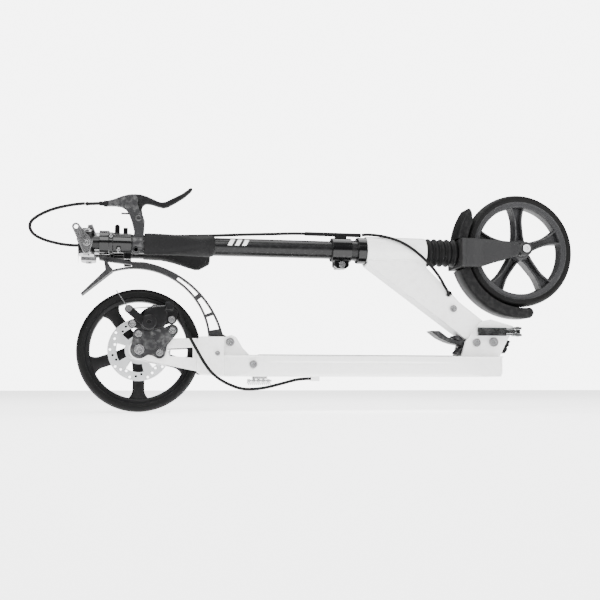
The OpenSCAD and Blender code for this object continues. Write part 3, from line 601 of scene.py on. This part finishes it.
def softened(place: Place, node: str, width: float) -> bpy.types.Object:
    """Stands a merged, edge-rounded copy in for a CAD node.

    Args:
        place: the scooter in the row frame.
        node: name of the CAD node.
        width: rounding of its edges, mm.

    Returns:
        The new piece.
    """
    mesh = place.nodes[node].data.copy()
    if node in JOINED:
        mesh = joined(mesh)
    mesh.name = f"{node}_finished"
    work = bmesh.new()
    work.from_mesh(mesh)
    bmesh.ops.remove_doubles(work, verts=work.verts, dist=MERGE)
    if node not in PIERCED:
        bmesh.ops.dissolve_limit(work, angle_limit=FLAT, verts=work.verts, edges=work.edges)
    work.to_mesh(mesh)
    work.free()
    if mesh.has_custom_normals:
        mesh.attributes.remove(mesh.attributes["custom_normal"])
    smooth(mesh)
    piece = new_object(f"{node}_finished", mesh)
    if width > 0:
        bevel(piece, width)
    return place.dress(piece, place.slots[node], place.bodies[node], [node])


# Wheels -------------------------------------------------------------------------------------------


@dataclass
class Wheel:
    """A 200 mm wheel: tyre, rim ring and hub, and a set of spokes."""

    name: str
    centre: tuple[float, float, float]
    first_spoke: float
    rim_in: float = 78.6
    rim_out: float = 88.0
    tyre_out: float = 100.0
    half_tyre: float = 15.0
    half_rim: float = 13.4
    hub_r: float = 20.0
    half_hub: float = 17.0
    bearing_r: float = 11.0
    sunk: float = 2.5
    spokes: int = 5
    tread_lines: tuple[float, ...] = (-5.0, 0.0, 5.0)

    def tyre_profile(self) -> Array:
        """Closed tyre section: a superelliptic crown with three tread lines."""
        t = np.linspace(-1.0, 1.0, 61)
        side = np.sin(t * np.pi / 2)
        height = (1 - np.abs(side) ** 2.6) ** (1 / 2.2)
        radius = self.rim_out + 3.0 + (self.tyre_out - self.rim_out - 3.0) * height
        for line in self.tread_lines:
            radius -= 0.7 * np.exp(-(((side * self.half_tyre - line) / 0.55) ** 2))
        crown = np.stack([side * self.half_tyre, radius], -1)
        foot = np.array([[self.half_tyre - 0.7, self.rim_out + 1.6], [self.half_tyre - 1.2, self.rim_out - 0.6]])
        return np.vstack([foot[::-1] * [-1, 1], crown, foot])

    def rim_profile(self) -> Array:
        """Closed rim section: two lips, a dished face and a thin well."""
        h, a, b = self.half_rim, self.rim_in, self.rim_out
        half = np.array([[h, b], [h, b - 1.6], [h - 0.7, b - 2.4], [h - 1.6, b - 3.4], [h - 2.0, a + 2.6],
                         [h - 2.6, a + 1.0], [h - 4.2, a + 0.2], [4.0, a]])
        return mirrored(half)

    def hub_profile(self) -> Array:
        """Closed hub section: a waisted drum with chamfered ends and a bearing seat."""
        h, r, b = self.half_hub, self.hub_r, self.bearing_r
        return mirrored(np.array([[h, b], [h, r - 5.0], [h - 1.0, r - 3.6], [h - 4.0, r - 2.4], [h - 7.0, r - 0.6],
                                  [6.0, r]]))

    def spoke(self, section: Callable[[float], Array]) -> Array:
        """Grid of one spoke along +x, sunk a little into the hub and the rim.

        Args:
            section: gives the [tangent, y] outline at a fraction of the spoke's length.

        Returns:
            Grid of points round the wheel's own centre.
        """
        t = np.linspace(0.0, 1.0, 22)
        reach = self.hub_r - self.sunk + t * (self.rim_in + 1.0 - self.hub_r + self.sunk)
        rings = np.stack([section(float(k)) for k in t])
        along = np.broadcast_to(reach[:, None], rings.shape[:2])
        return np.stack([along, rings[..., 1], rings[..., 0]], -1)

    def turned_spokes(self, grid: Array) -> list[tuple[Array, bool, bool]]:
        """Puts the spoke at each of its places round the hub.

        Args:
            grid: one spoke along +x.

        Returns:
            A surface for skin for each spoke.
        """
        placed = []
        for index in range(self.spokes):
            angle = math.radians(self.first_spoke + 360.0 * index / self.spokes)
            c, s = math.cos(angle), math.sin(angle)
            x, y, z = grid[..., 0], grid[..., 1], grid[..., 2]
            placed.append((np.stack([x * c - z * s, y, x * s + z * c], -1) + np.array(self.centre), False, True))
        return placed

    def build_tyre(self, place: Place, body: str) -> None:
        """Makes the tyre."""
        grid = place.metres(revolved(self.tyre_profile(), self.centre, "y", 128))
        place.dress(skin(f"{self.name}_tyre_tread", [(grid, True, True)], 50), "tyre", body, [f"{self.name}_tyre"])

    def build_rim(self, place: Place, body: str, slot: str, grid: Array, extra: Sequence[Array] = ()) -> None:
        """Makes ring, hub and spokes as one moulding.

        Args:
            place: the scooter in the row frame.
            body: CAD body of the wheel.
            slot: material slot of the moulding.
            grid: one spoke along +x.
            extra: profiles of further turned rings.
        """
        rings = [revolved(p, self.centre, "y", 128) for p in (self.rim_profile(), self.hub_profile(), *extra)]
        grids = [(place.metres(r), True, True) for r in rings]
        grids += [(place.metres(g), a, b) for g, a, b in self.turned_spokes(grid)]
        piece = skin(f"{self.name}_rim_moulding", grids, 30)
        place.dress(piece, slot, body, [f"{self.name}_rim"])


@dataclass
class FrontWheel(Wheel):
    """Wheel whose spokes are two ribs joined by a thin web."""

    rib: float = 3.6
    web: float = 2.2

    def section(self, t: float) -> Array:
        """H-shaped outline that is widest at the rim and flared at the hub."""
        w = 7.2 + 6.5 * max(0.0, t - 0.55) ** 1.6 / 0.45**1.6 + 2.0 * (1 - t) ** 6
        h = 12.0 - 1.5 * t
        rib, web = self.rib, self.web
        right = [[w - rib, -web], [w - rib, -h + 1], [w - rib + 0.9, -h], [w - 0.8, -h], [w, -h + 1], [w, h - 1],
                 [w - 0.8, h], [w - rib + 0.9, h], [w - rib, h - 1], [w - rib, web]]
        return mirrored(np.array(right))

    def build(self, place: Place) -> None:
        """Makes the whole front wheel."""
        self.build_tyre(place, "front_wheel")
        self.build_rim(place, "front_wheel", "rim_grey", self.spoke(self.section))
        softened(place, "front_bearings", 0.3)


@dataclass
class RearWheel(Wheel):
    """Wheel with flat spokes and a flange that carries the brake rotor."""

    rotor_face: float = -24.0

    def section(self, t: float) -> Array:
        """Rounded bar whose width swells in a fillet at the rim."""
        w = 9.6 + 8.5 * max(0.0, (t - 0.72) / 0.28) ** 2.4 + 2.4 * (1 - t) ** 8
        return ellipse(7.0, 28) * np.array([w, 8.0])

    def flange(self) -> Array:
        """Closed section of the rotor flange."""
        face, r = self.rotor_face, self.hub_r
        return np.array([[face, 9.0], [face, r - 0.8], [face + 0.8, r], [-self.half_hub, r], [-self.half_hub, 9.0]])

    def build(self, place: Place) -> None:
        """Makes the whole rear wheel with its rotor and bearings."""
        self.build_tyre(place, "rear_wheel")
        self.build_rim(place, "rear_wheel", "rim_black", self.spoke(self.section), [self.flange()])
        for node, width in (("rotor", 0.25), ("rear_bearings", 0.3)):
            softened(place, node, width)


# Front fork ---------------------------------------------------------------------------------------


@dataclass
class Fork:
    """Moulded fork: two dished legs, the crown between them, the mudguard and the axle."""

    crown_x: float = 545.0
    crown_in: float = 556.5
    hub: tuple[float, float, float] = (662.0, 0.0, 281.0)
    boss_r: float = 12.5
    leg_in: float = 23.0
    leg_out: float = 37.0
    guard_out: float = 121.0
    guard_in: float = 102.5
    guard_y: float = 21.0
    guard_wall: float = 2.2
    taper_x: float = 574.0
    leg_z: tuple[float, float] = (247.0, 297.0)
    leg_drop: tuple[float, float] = (21.8, 3.6)
    guard_arc: tuple[float, float] = (144.0, 279.6)
    guard_crown: tuple[float, float] = (171.6, 198.4)
    guard_round: float = 276.0

    def leg_grid(self, side: int) -> Array:
        """Loft of rounded sections from the crown to the axle boss.

        Height and middle follow smooth steps along x; the outer face dips between a raised block at the crown and
        the boss.

        Args:
            side: -1 for the right leg and 1 for the left one.

        Returns:
            Grid of points, open along the leg.
        """
        hx, hz = self.hub[0], self.hub[2]
        end = hx + self.boss_r
        x = np.concatenate([
            np.array([self.crown_x, self.crown_x + 0.6, self.crown_x + 6.4, self.crown_x + 7.2]),
            np.linspace(self.crown_x + 8.4, hx - 11.0, 30),
            hx + self.boss_r * np.sin(np.linspace(-0.9, np.pi / 2, 16)),
        ])
        t = np.clip((x - self.taper_x) / (hx - 12.0 - self.taper_x), 0.0, 1.0)
        ease = t * t * (3 - 2 * t)
        top = self.leg_z[1] - self.leg_drop[1] * ease
        low = self.leg_z[0] + self.leg_drop[0] * (0.62 * t + 0.38 * ease)
        past = x > hx - 11.2
        round_end = np.sqrt(np.clip(self.boss_r**2 - (x - hx) ** 2, 0.01, None))
        top = np.where(past, hz + np.maximum(round_end, 0.4), top)
        low = np.where(past, hz - np.maximum(round_end, 0.4), low)
        dish = np.clip((x - 568.0) / 14.0, 0, 1) * np.clip((hx - 13.0 - x) / 12.0, 0, 1)
        lip = (x >= self.crown_x + 7.0) * 0.7
        outer = self.leg_out - lip - 3.4 * dish
        middle, half = (outer + self.leg_in) / 2, (outer - self.leg_in) / 2
        ring = ellipse(9.0, 36)
        y = side * (middle[:, None] + half[:, None] * ring[None, :, 0])
        z = (top + low)[:, None] / 2 + (top - low)[:, None] / 2 * ring[None, :, 1]
        return np.stack([np.broadcast_to(x[:, None], y.shape), y, z], -1)[x <= end + 1e-6]

    def boss_ring(self, side: int) -> Array:
        """Raised collar round the axle on the leg's outer face."""
        a, b = side * (self.leg_out - 3.0), side * self.leg_out
        profile = np.array([[a, 7.4], [b - side * 0.4, 7.4], [b, 7.9], [b, 11.0], [b - side * 1.0, 12.2], [a, 12.3]])
        return revolved(profile, self.hub, "y", 64)

    def build_legs(self, place: Place) -> None:
        """Makes both legs."""
        for side, name in ((-1, "right"), (1, "left")):
            grids = [(place.metres(self.leg_grid(side)), False, True), (place.metres(self.boss_ring(side)), True, True)]
            piece = skin(f"{name}_fork_leg_moulding", grids, 40)
            place.dress(piece, "fork_grey", "fork", [f"{name}_fork_leg"])

    def guard_grid(self) -> Array:
        """U-shaped mudguard section carried along an arc about the axle.

        Its outer radius drops to a thin strip where it passes under the crown, and the skirts shorten to a point at
        the upper end and a round at the lower end.

        Returns:
            Grid of points, open along the arc.
        """
        (first, last), (enter, leave) = self.guard_arc, self.guard_crown
        degrees = np.concatenate([
            np.linspace(first, 171.2, 24), np.linspace(enter, 173.0, 5), np.linspace(173.6, 197.0, 18),
            np.linspace(197.2, leave, 5), np.linspace(199.0, last, 60)])
        angle = np.radians(degrees)
        near = np.minimum(np.clip((degrees - enter) / 1.4, 0.0, 1.0), np.clip((leave - degrees) / 1.2, 0.0, 1.0))
        taper_up = np.clip((degrees - first) / 9.0, 0.0, 1.0) ** 0.6
        taper_low = np.sqrt(np.clip(1 - ((degrees - self.guard_round).clip(0) / 3.8) ** 2, 0.08, 1.0))
        outer = self.guard_out - near * 15.6
        skirt = (outer - self.guard_in) * np.minimum(0.22 + 0.78 * taper_up, 1.0)
        tail = degrees > self.guard_round
        mid = np.where(tail, (self.guard_out + self.guard_in) / 2, outer)
        top = np.where(tail, mid + (self.guard_out - mid) * taper_low, outer)
        foot = np.where(tail, mid - (mid - self.guard_in) * taper_low, outer - skirt)
        y, wall = self.guard_y, self.guard_wall
        across = np.array([-y, -y, -y + 1.4, -y + 5, 0, y - 5, y - 1.4, y, y,
                           y - wall, y - wall, y - 5, 0, -y + 5, -y + wall, -y + wall])
        drop = np.array([1.0, 0.28, 0.1, 0, 0, 0, 0.1, 0.28, 1.0, 1.0, 0.36, 0, 0, 0, 0.36, 1.0])
        inner = np.array([0, 0, 0, 0, 0, 0, 0, 0, 0, 0, 0, 1, 1, 1, 0, 0]) * wall
        radius = top[:, None] - (top - foot)[:, None] * drop[None, :] - inner[None, :]
        radius = np.maximum(radius, self.guard_in)
        x = self.hub[0] + radius * np.cos(angle)[:, None]
        z = self.hub[2] + radius * np.sin(angle)[:, None]
        return np.stack([x, np.broadcast_to(across, x.shape), z], -1)

    def build(self, place: Place) -> None:
        """Makes the fork, its mudguard and its axle."""
        self.build_legs(place)
        softened(place, "fork_crown", 1.2)
        guard = skin("front_mudguard_shell", [(place.metres(self.guard_grid()), False, True)], 40)
        place.dress(guard, "fender_black", "fork", ["front_fender"])
        softened(place, "front_axle", 0.4)


@dataclass
class Bellows:
    """Folded rubber sleeve between head tube and fork crown."""

    start: float = 487.9
    end: float = 544.8
    axis_z: float = 274.0
    root_r: float = 20.6
    crest_r: float = 24.4
    wall: float = 1.8
    folds: int = 5

    def build(self, place: Place) -> None:
        """Outer radius is a raised cosine, sharpened at the crests; the inner wall follows it."""
        x = np.linspace(self.start, self.end, 91)
        wave = 0.5 - 0.5 * np.cos(2 * np.pi * self.folds * (x - self.start) / (self.end - self.start))
        outer = self.root_r + (self.crest_r - self.root_r) * wave**0.75
        section = np.vstack([np.stack([x, outer], -1), np.stack([x, outer - self.wall], -1)[::-1]])
        grid = place.metres(revolved(section, (0.0, 0.0, self.axis_z), "x", 72))
        place.dress(skin("bellows_sleeve", [(grid, True, True)], 60), "rubber_black", "steerer", ["bellows"])


# Handlebars ---------------------------------------------------------------------------------------


@dataclass
class Grip:
    """Rubber grip, flattened across, with a palm wing that swells towards its end."""

    side: int
    name: str
    body: str
    start: float = 5.0
    end: float = 117.4
    axis: tuple[float, float] = (47.0, 268.0)
    bar_r: float = 11.0
    half: float = 17.8
    back: float = 12.4
    groove_pitch: float = 4.6
    groove_depth: float = 0.0225
    wing: tuple[tuple[float, float], ...] = (
        (5, 11.9), (20, 12.3), (35, 12.9), (47, 15.2), (58, 17.9), (69, 21.2), (80, 24.9), (92, 28.2), (100, 27.9),
        (109, 22.8), (117.4, 17.8))

    def grid(self) -> Array:
        """Sections across the bar: a flat superellipse whose lower side follows the wing's depth.

        The section narrows below the bar as it deepens, and both ends close round the bar. The right grip's wing is
        turned a quarter outwards.

        Returns:
            Grid of points, open along the bar.
        """
        x = np.concatenate([
            [self.start, self.start + 0.01, self.start + 0.6],
            np.linspace(self.start + 1.6, self.end - 2.2, 84),
            [self.end - 1.2, self.end - 0.4, self.end - 0.01, self.end]])
        ring = ellipse(2.9, 96)
        flat, tall = ring[:, 0], ring[:, 1]
        depth = np.interp(x, *np.array(self.wing).T)
        low, high = depth[:, None], self.back
        run = x - self.start
        grooves = (np.cos(2 * np.pi * run / self.groove_pitch) > 0.55) * (x < self.start + 27) * (x > self.start + 3)
        w = np.where(tall < 0, -tall * low, tall * high)
        deep = np.clip((low - 14.0) / 14.0, 0.0, 1.0) * np.clip(-tall, 0.0, 1.0)
        t = run / (self.end - self.start)
        waist = self.half - 1.3 * np.sin(np.pi * np.clip(t / 0.86, 0, 1)) ** 2 - 0.8 * np.exp(-t / 0.05)
        corner = np.clip((t - 0.93) / 0.07, 0, 1)
        waist = waist * np.sqrt(1 - 0.35 * corner**2)
        u = flat * waist[:, None] * (1 - 0.42 * deep)
        side = np.where(tall < 0, -w, w)
        soft = np.ones_like(x)
        soft[:3], soft[-4:] = (0.62, 0.93, 0.98), (0.985, 0.94, 0.86, 0.62)
        shrink = (soft - grooves * self.groove_depth)[:, None]
        u, side = u * shrink, side * shrink
        reach = np.hypot(u, side)
        room = np.maximum(1.0, (self.bar_r + 0.08) / np.maximum(reach, 1e-6))
        u, side = u * room, side * room
        y, z = (side, u) if self.side < 0 else (u, side)
        return np.stack([np.broadcast_to(x[:, None], u.shape), self.side * self.axis[0] + y, self.axis[1] + z], -1)

    def build(self, place: Place) -> None:
        """Makes the grip with closed ends round the bar."""
        piece = skin(f"{self.name}_grip_rubber", [(place.metres(self.grid()), False, True)], 42)
        place.dress(piece, "grip_rubber", self.body, [f"{self.name}_grip"])


# Cables -------------------------------------------------------------------------------------------


@dataclass(frozen=True)
class Cable:
    """One stretch of brake cable housing along its own route."""

    node: str
    body: str
    route: tuple[tuple[float, float, float], ...]
    stretch: str = "housing"
    radius: float = 2.5

    def build(self, place: Place) -> None:
        """Carries a circle along the smoothed route."""
        path = spline(self.route, 6)
        size = np.full(len(path), self.radius)
        grid = place.metres(carried(path, ellipse(2.0, 16), (0, 0.94, 0.34), size))
        piece = skin(f"{self.node}_{self.stretch}", [(grid, False, True)], 60)
        place.dress(piece, "rubber_black", self.body, [self.node])


CABLES = (
    Cable("rear_cable", "deck_frame", (
        (278, -38, 54), (270, -38, 54), (252, -41, 52), (228, -47, 46), (200, -53, 39.5), (175, -57, 37),
        (158, -59, 38.8), (142, -60, 44.5), (127, -60, 52.5), (113, -60, 64), (101, -60, 80), (91, -60, 97),
        (80, -59, 116.5), (70, -58, 136), (65, -58, 150), (61, -58, 161), (57, -58, 167), (52, -58, 169))),
    Cable("stem_cable", "stem", (
        (-88.6, -47, 330), (-93, -47, 330), (-112, -46, 327), (-136, -43, 321), (-157, -39, 312), (-171, -33, 302),
        (-173.7, -27, 292), (-167, -23, 282), (-150, -21, 274), (-128, -20, 269), (-110, -20, 267), (-99, -20, 267)),
        "loop"),
    Cable("stem_cable", "stem", (
        (-50, -20, 287), (-40, -20, 287), (0, -16.5, 285), (60, -13, 288), (121, -9, 291.6), (164, -5.2, 295),
        (204, -2.4, 297.5), (213, -2, 298), (222, -1.6, 298.5), (244, -0.5, 300.1), (268, 0, 301), (300, 0, 301),
        (345, 0, 301), (372, 0, 301)), "run"),
    Cable("neck_cable", "neck", (
        (376, 0, 301.7), (384, -2, 302.4), (396, -7.5, 301.2), (410, -14, 298.3), (424, -20, 294),
        (438, -25, 287.8), (452, -28, 279.6), (466, -29, 269.4), (481, -28.8, 256.8), (495, -28, 242.4),
        (507, -26.4, 227.5), (515.5, -24.6, 214), (521.3, -23, 205.6), (524.7, -20.2, 201), (525.6, -16.2, 200),
        (526.6, -12.5, 199))),
)


# Small fittings -----------------------------------------------------------------------------------


@dataclass
class Swivel:
    """Rubber ball where the brake housing turns with the right bar, on the bar's hinge line."""

    centre: tuple[float, float, float] = (-85.1, -47.0, 330.0)
    radius: float = 3.3

    def build(self, place: Place) -> None:
        """Turns a half circle about the z direction."""
        t = np.linspace(-np.pi / 2, np.pi / 2, 25)
        half = np.stack([self.radius * np.sin(t), np.maximum(self.radius * np.cos(t), 0.02)], -1)
        grid = place.metres(revolved(half, self.centre, "z", 40)).transpose(1, 0, 2)
        place.dress(skin("housing_swivel", [(grid, False, True)], 60), "rubber_black", "right_handlebar")


@dataclass
class KickstandSpring:
    """Coil spring beside the kickstand's pivot."""

    start: float = 184.0
    end: float = 226.0
    axis: tuple[float, float] = (51.0, 46.0)
    coil_r: float = 2.3
    wire_r: float = 0.55
    turns: int = 12

    def build(self, place: Place) -> None:
        """Carries a thin circle along a helix about the x direction."""
        t = np.linspace(0, 1, self.turns * 18)
        turn = 2 * np.pi * self.turns * t
        y, z = self.axis
        path = np.stack([self.start + (self.end - self.start) * t, y + self.coil_r * np.cos(turn),
                         z + self.coil_r * np.sin(turn)], -1)
        size = np.full(len(path), self.wire_r)
        grid = place.metres(carried(path, ellipse(2.0, 8), (1, 0, 0), size))
        place.dress(skin("kickstand_spring", [(grid, False, True)], 60), "steel", "deck_frame")


@dataclass
class Welds:
    """Rippled weld beads where the gusset meets the head tube."""

    axis_z: float = 274.0
    tube_r: float = 24.5
    neck_y: float = 18.0
    bead_r: float = 1.8
    x: tuple[float, float] = (386.0, 482.0)

    def build(self, place: Place) -> None:
        """Carries a small circle, swelling and shrinking, along both sides of the joint line."""
        z = self.axis_z - math.sqrt(self.tube_r**2 - self.neck_y**2)
        for side, name in ((-1, "right"), (1, "left")):
            t = np.linspace(0, 1, 160)
            path = np.stack([self.x[0] + (self.x[1] - self.x[0]) * t, np.full_like(t, side * (self.neck_y + 0.2)),
                             np.full_like(t, z)], -1)
            swell = self.bead_r * (1 + 0.16 * np.sin(2 * np.pi * 34 * t)) * np.clip(np.minimum(t, 1 - t) * 40, 0.2, 1)
            grid = place.metres(carried(path, ellipse(2.0, 12), (0, 0, 1), swell))
            place.dress(skin(f"{name}_neck_weld", [(grid, False, True)], 60), "frame_white", "neck")


# CAD nodes whose shape is right, with the rounding of their edges in mm.
ROUNDED: dict[str, float] = {
    "deck": 0.9, "grip_tape": 0.0, "front_cap": 0.8, "rear_block": 1.2, "right_fork_arm": 0.9, "left_fork_arm": 0.9,
    "rear_axle": 0.4, "frame_bolts": 0.35, "hinge_bracket": 0.9, "bumper": 0.8, "latch_clevis": 0.5,
    "caliper_bracket": 0.5, "caliper_body": 0.9, "kickstand_bracket": 0.4, "neck_frame": 2.2, "head_tube": 0.6,
    "headset_cups": 0.8, "neck_bolt": 0.4, "lower_stem": 0.3, "clamp_collar": 0.8, "cable_sleeve": 0.2,
    "clamp_bolt": 0.3, "clamp_lever": 0.8, "upper_stem": 0.3, "t_head": 0.7, "stem_badge": 0.0, "right_bar": 0.6,
    "right_lock": 0.35, "right_sleeve": 0.6, "lever_housing": 1.0, "cable_adjuster": 0.3, "left_bar": 0.6,
    "left_lock": 0.35, "left_sleeve": 0.6, "brake_lever": 1.5, "caliper_arm": 0.5, "inner_wire": 0.0,
    "fold_latch": 0.4, "release_lever": 0.8, "kickstand": 0.6, "rear_fender": 0.6, "mudflap": 0.6,
}

# CAD nodes drawn as several touching shells, which are joined before their edges are rounded.
JOINED = ("lever_housing", "release_lever", "rear_fender")

# CAD nodes with windows through flat faces, which stay in triangles.
PIERCED = ("right_fork_arm", "left_fork_arm", "rotor", "caliper_bracket", "rear_fender", "right_lock", "left_lock")


# Stage --------------------------------------------------------------------------------------------


@dataclass
class Studio:
    """Pale floor, white surround, soft lamps and the camera."""

    eye: tuple[float, float, float] = (-13.7, -1492.6, 43.6)
    yaw: float = 10.66
    pitch: float = 5.4
    lens: float = 54.0
    floor_half: float = 6.0
    floor_z: float = -0.0005
    floor_glow: float = 2.6
    backdrop: float = 8.0
    sky: tuple[float, float] = (0.8, 7.0)
    lamps: tuple[tuple[str, tuple[float, float, float], float, float], ...] = (
        ("key", (-0.6, -1.3, 1.5), 1.3, 48.0), ("fill", (1.1, -1.0, 0.9), 1.2, 20.0),
        ("top", (0.0, 0.3, 1.9), 1.6, 40.0))

    def build_floor(self) -> None:
        """Makes a large pale floor under the wheels."""
        h, z = self.floor_half, self.floor_z
        mesh = bpy.data.meshes.new("floor")
        mesh.from_pydata([(-h, -h, z), (h, -h, z), (h, h, z), (-h, h, z)], [], [(0, 1, 2, 3)])
        floor = new_object("floor", mesh)
        paint = Recipe("floor_paint")
        paint.set(Roughness=0.75)
        paint.shader.inputs["Base Color"].default_value = (0.93, 0.93, 0.93, 1.0)
        paint.shader.inputs["Emission Color"].default_value = (1.0, 1.0, 1.0, 1.0)
        paint.shader.inputs["Emission Strength"].default_value = self.floor_glow
        mesh.materials.append(paint.material)

    def build_light(self) -> None:
        """Sets a white surround, brightest overhead, and three soft lamps."""
        world = bpy.data.worlds.new("surround")
        world.use_nodes = True
        nodes, links = world.node_tree.nodes, world.node_tree.links
        lit, seen = nodes["Background"], nodes.new("ShaderNodeBackground")
        seen.inputs["Strength"].default_value = self.backdrop
        height = nodes.new("ShaderNodeSeparateXYZ")
        links.new(nodes.new("ShaderNodeTexCoord").outputs["Generated"], height.inputs[0])
        rise = nodes.new("ShaderNodeMapRange")
        for name, value in (("From Min", 0.05), ("From Max", 0.75), ("To Min", self.sky[0]), ("To Max", self.sky[1])):
            rise.inputs[name].default_value = value
        links.new(height.outputs["Z"], rise.inputs["Value"])
        links.new(rise.outputs[0], lit.inputs["Strength"])
        mix = nodes.new("ShaderNodeMixShader")
        links.new(nodes.new("ShaderNodeLightPath").outputs["Is Camera Ray"], mix.inputs[0])
        links.new(lit.outputs[0], mix.inputs[1])
        links.new(seen.outputs[0], mix.inputs[2])
        links.new(mix.outputs[0], nodes["World Output"].inputs[0])
        bpy.context.scene.world = world
        for name, spot, size, power in self.lamps:
            data = bpy.data.lights.new(name, "AREA")
            data.size, data.energy = size, power
            lamp = bpy.data.objects.new(name, data)
            bpy.context.scene.collection.objects.link(lamp)
            lamp.location = spot
            aim = Vector((-spot[0], -spot[1], 0.18 - spot[2]))
            lamp.rotation_euler = aim.to_track_quat("-Z", "Y").to_euler()

    def build_camera(self, place: Place) -> None:
        """Sets the camera low and a little to the rear of the scooter's middle."""
        data = bpy.data.cameras.new("camera")
        data.lens, data.sensor_width = self.lens, 36.0
        data.clip_start, data.clip_end = 0.05, 50.0
        camera = bpy.data.objects.new("camera", data)
        bpy.context.scene.collection.objects.link(camera)
        camera.location = place.metres(np.array(self.eye)).tolist()
        camera.rotation_euler = (math.radians(90 + self.pitch), 0.0, math.radians(-self.yaw))
        bpy.context.scene.camera = camera


def main() -> None:
    """Builds the looks of every piece, in order."""
    logging.basicConfig(level=logging.INFO, format="%(name)s: %(message)s")
    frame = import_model()
    place = Place(frame)
    studio = Studio()
    studio.build_floor()
    studio.build_light()
    studio.build_camera(place)
    for cable in CABLES:
        cable.build(place)
    FrontWheel("front", (662.0, 0.0, 281.0), 20.0, rim_in=77.0).build(place)
    RearWheel("rear", (0.0, 0.0, 100.0), -18.0).build(place)
    Fork().build(place)
    Bellows().build(place)
    Grip(-1, "right", "right_handlebar").build(place)
    Grip(1, "left", "left_handlebar").build(place)
    Swivel().build(place)
    KickstandSpring().build(place)
    Welds().build(place)
    for node, width in ROUNDED.items():
        softened(place, node, width)
    LOG.info("%d pieces made", len(place.made))


if __name__ == "__main__":
    main()
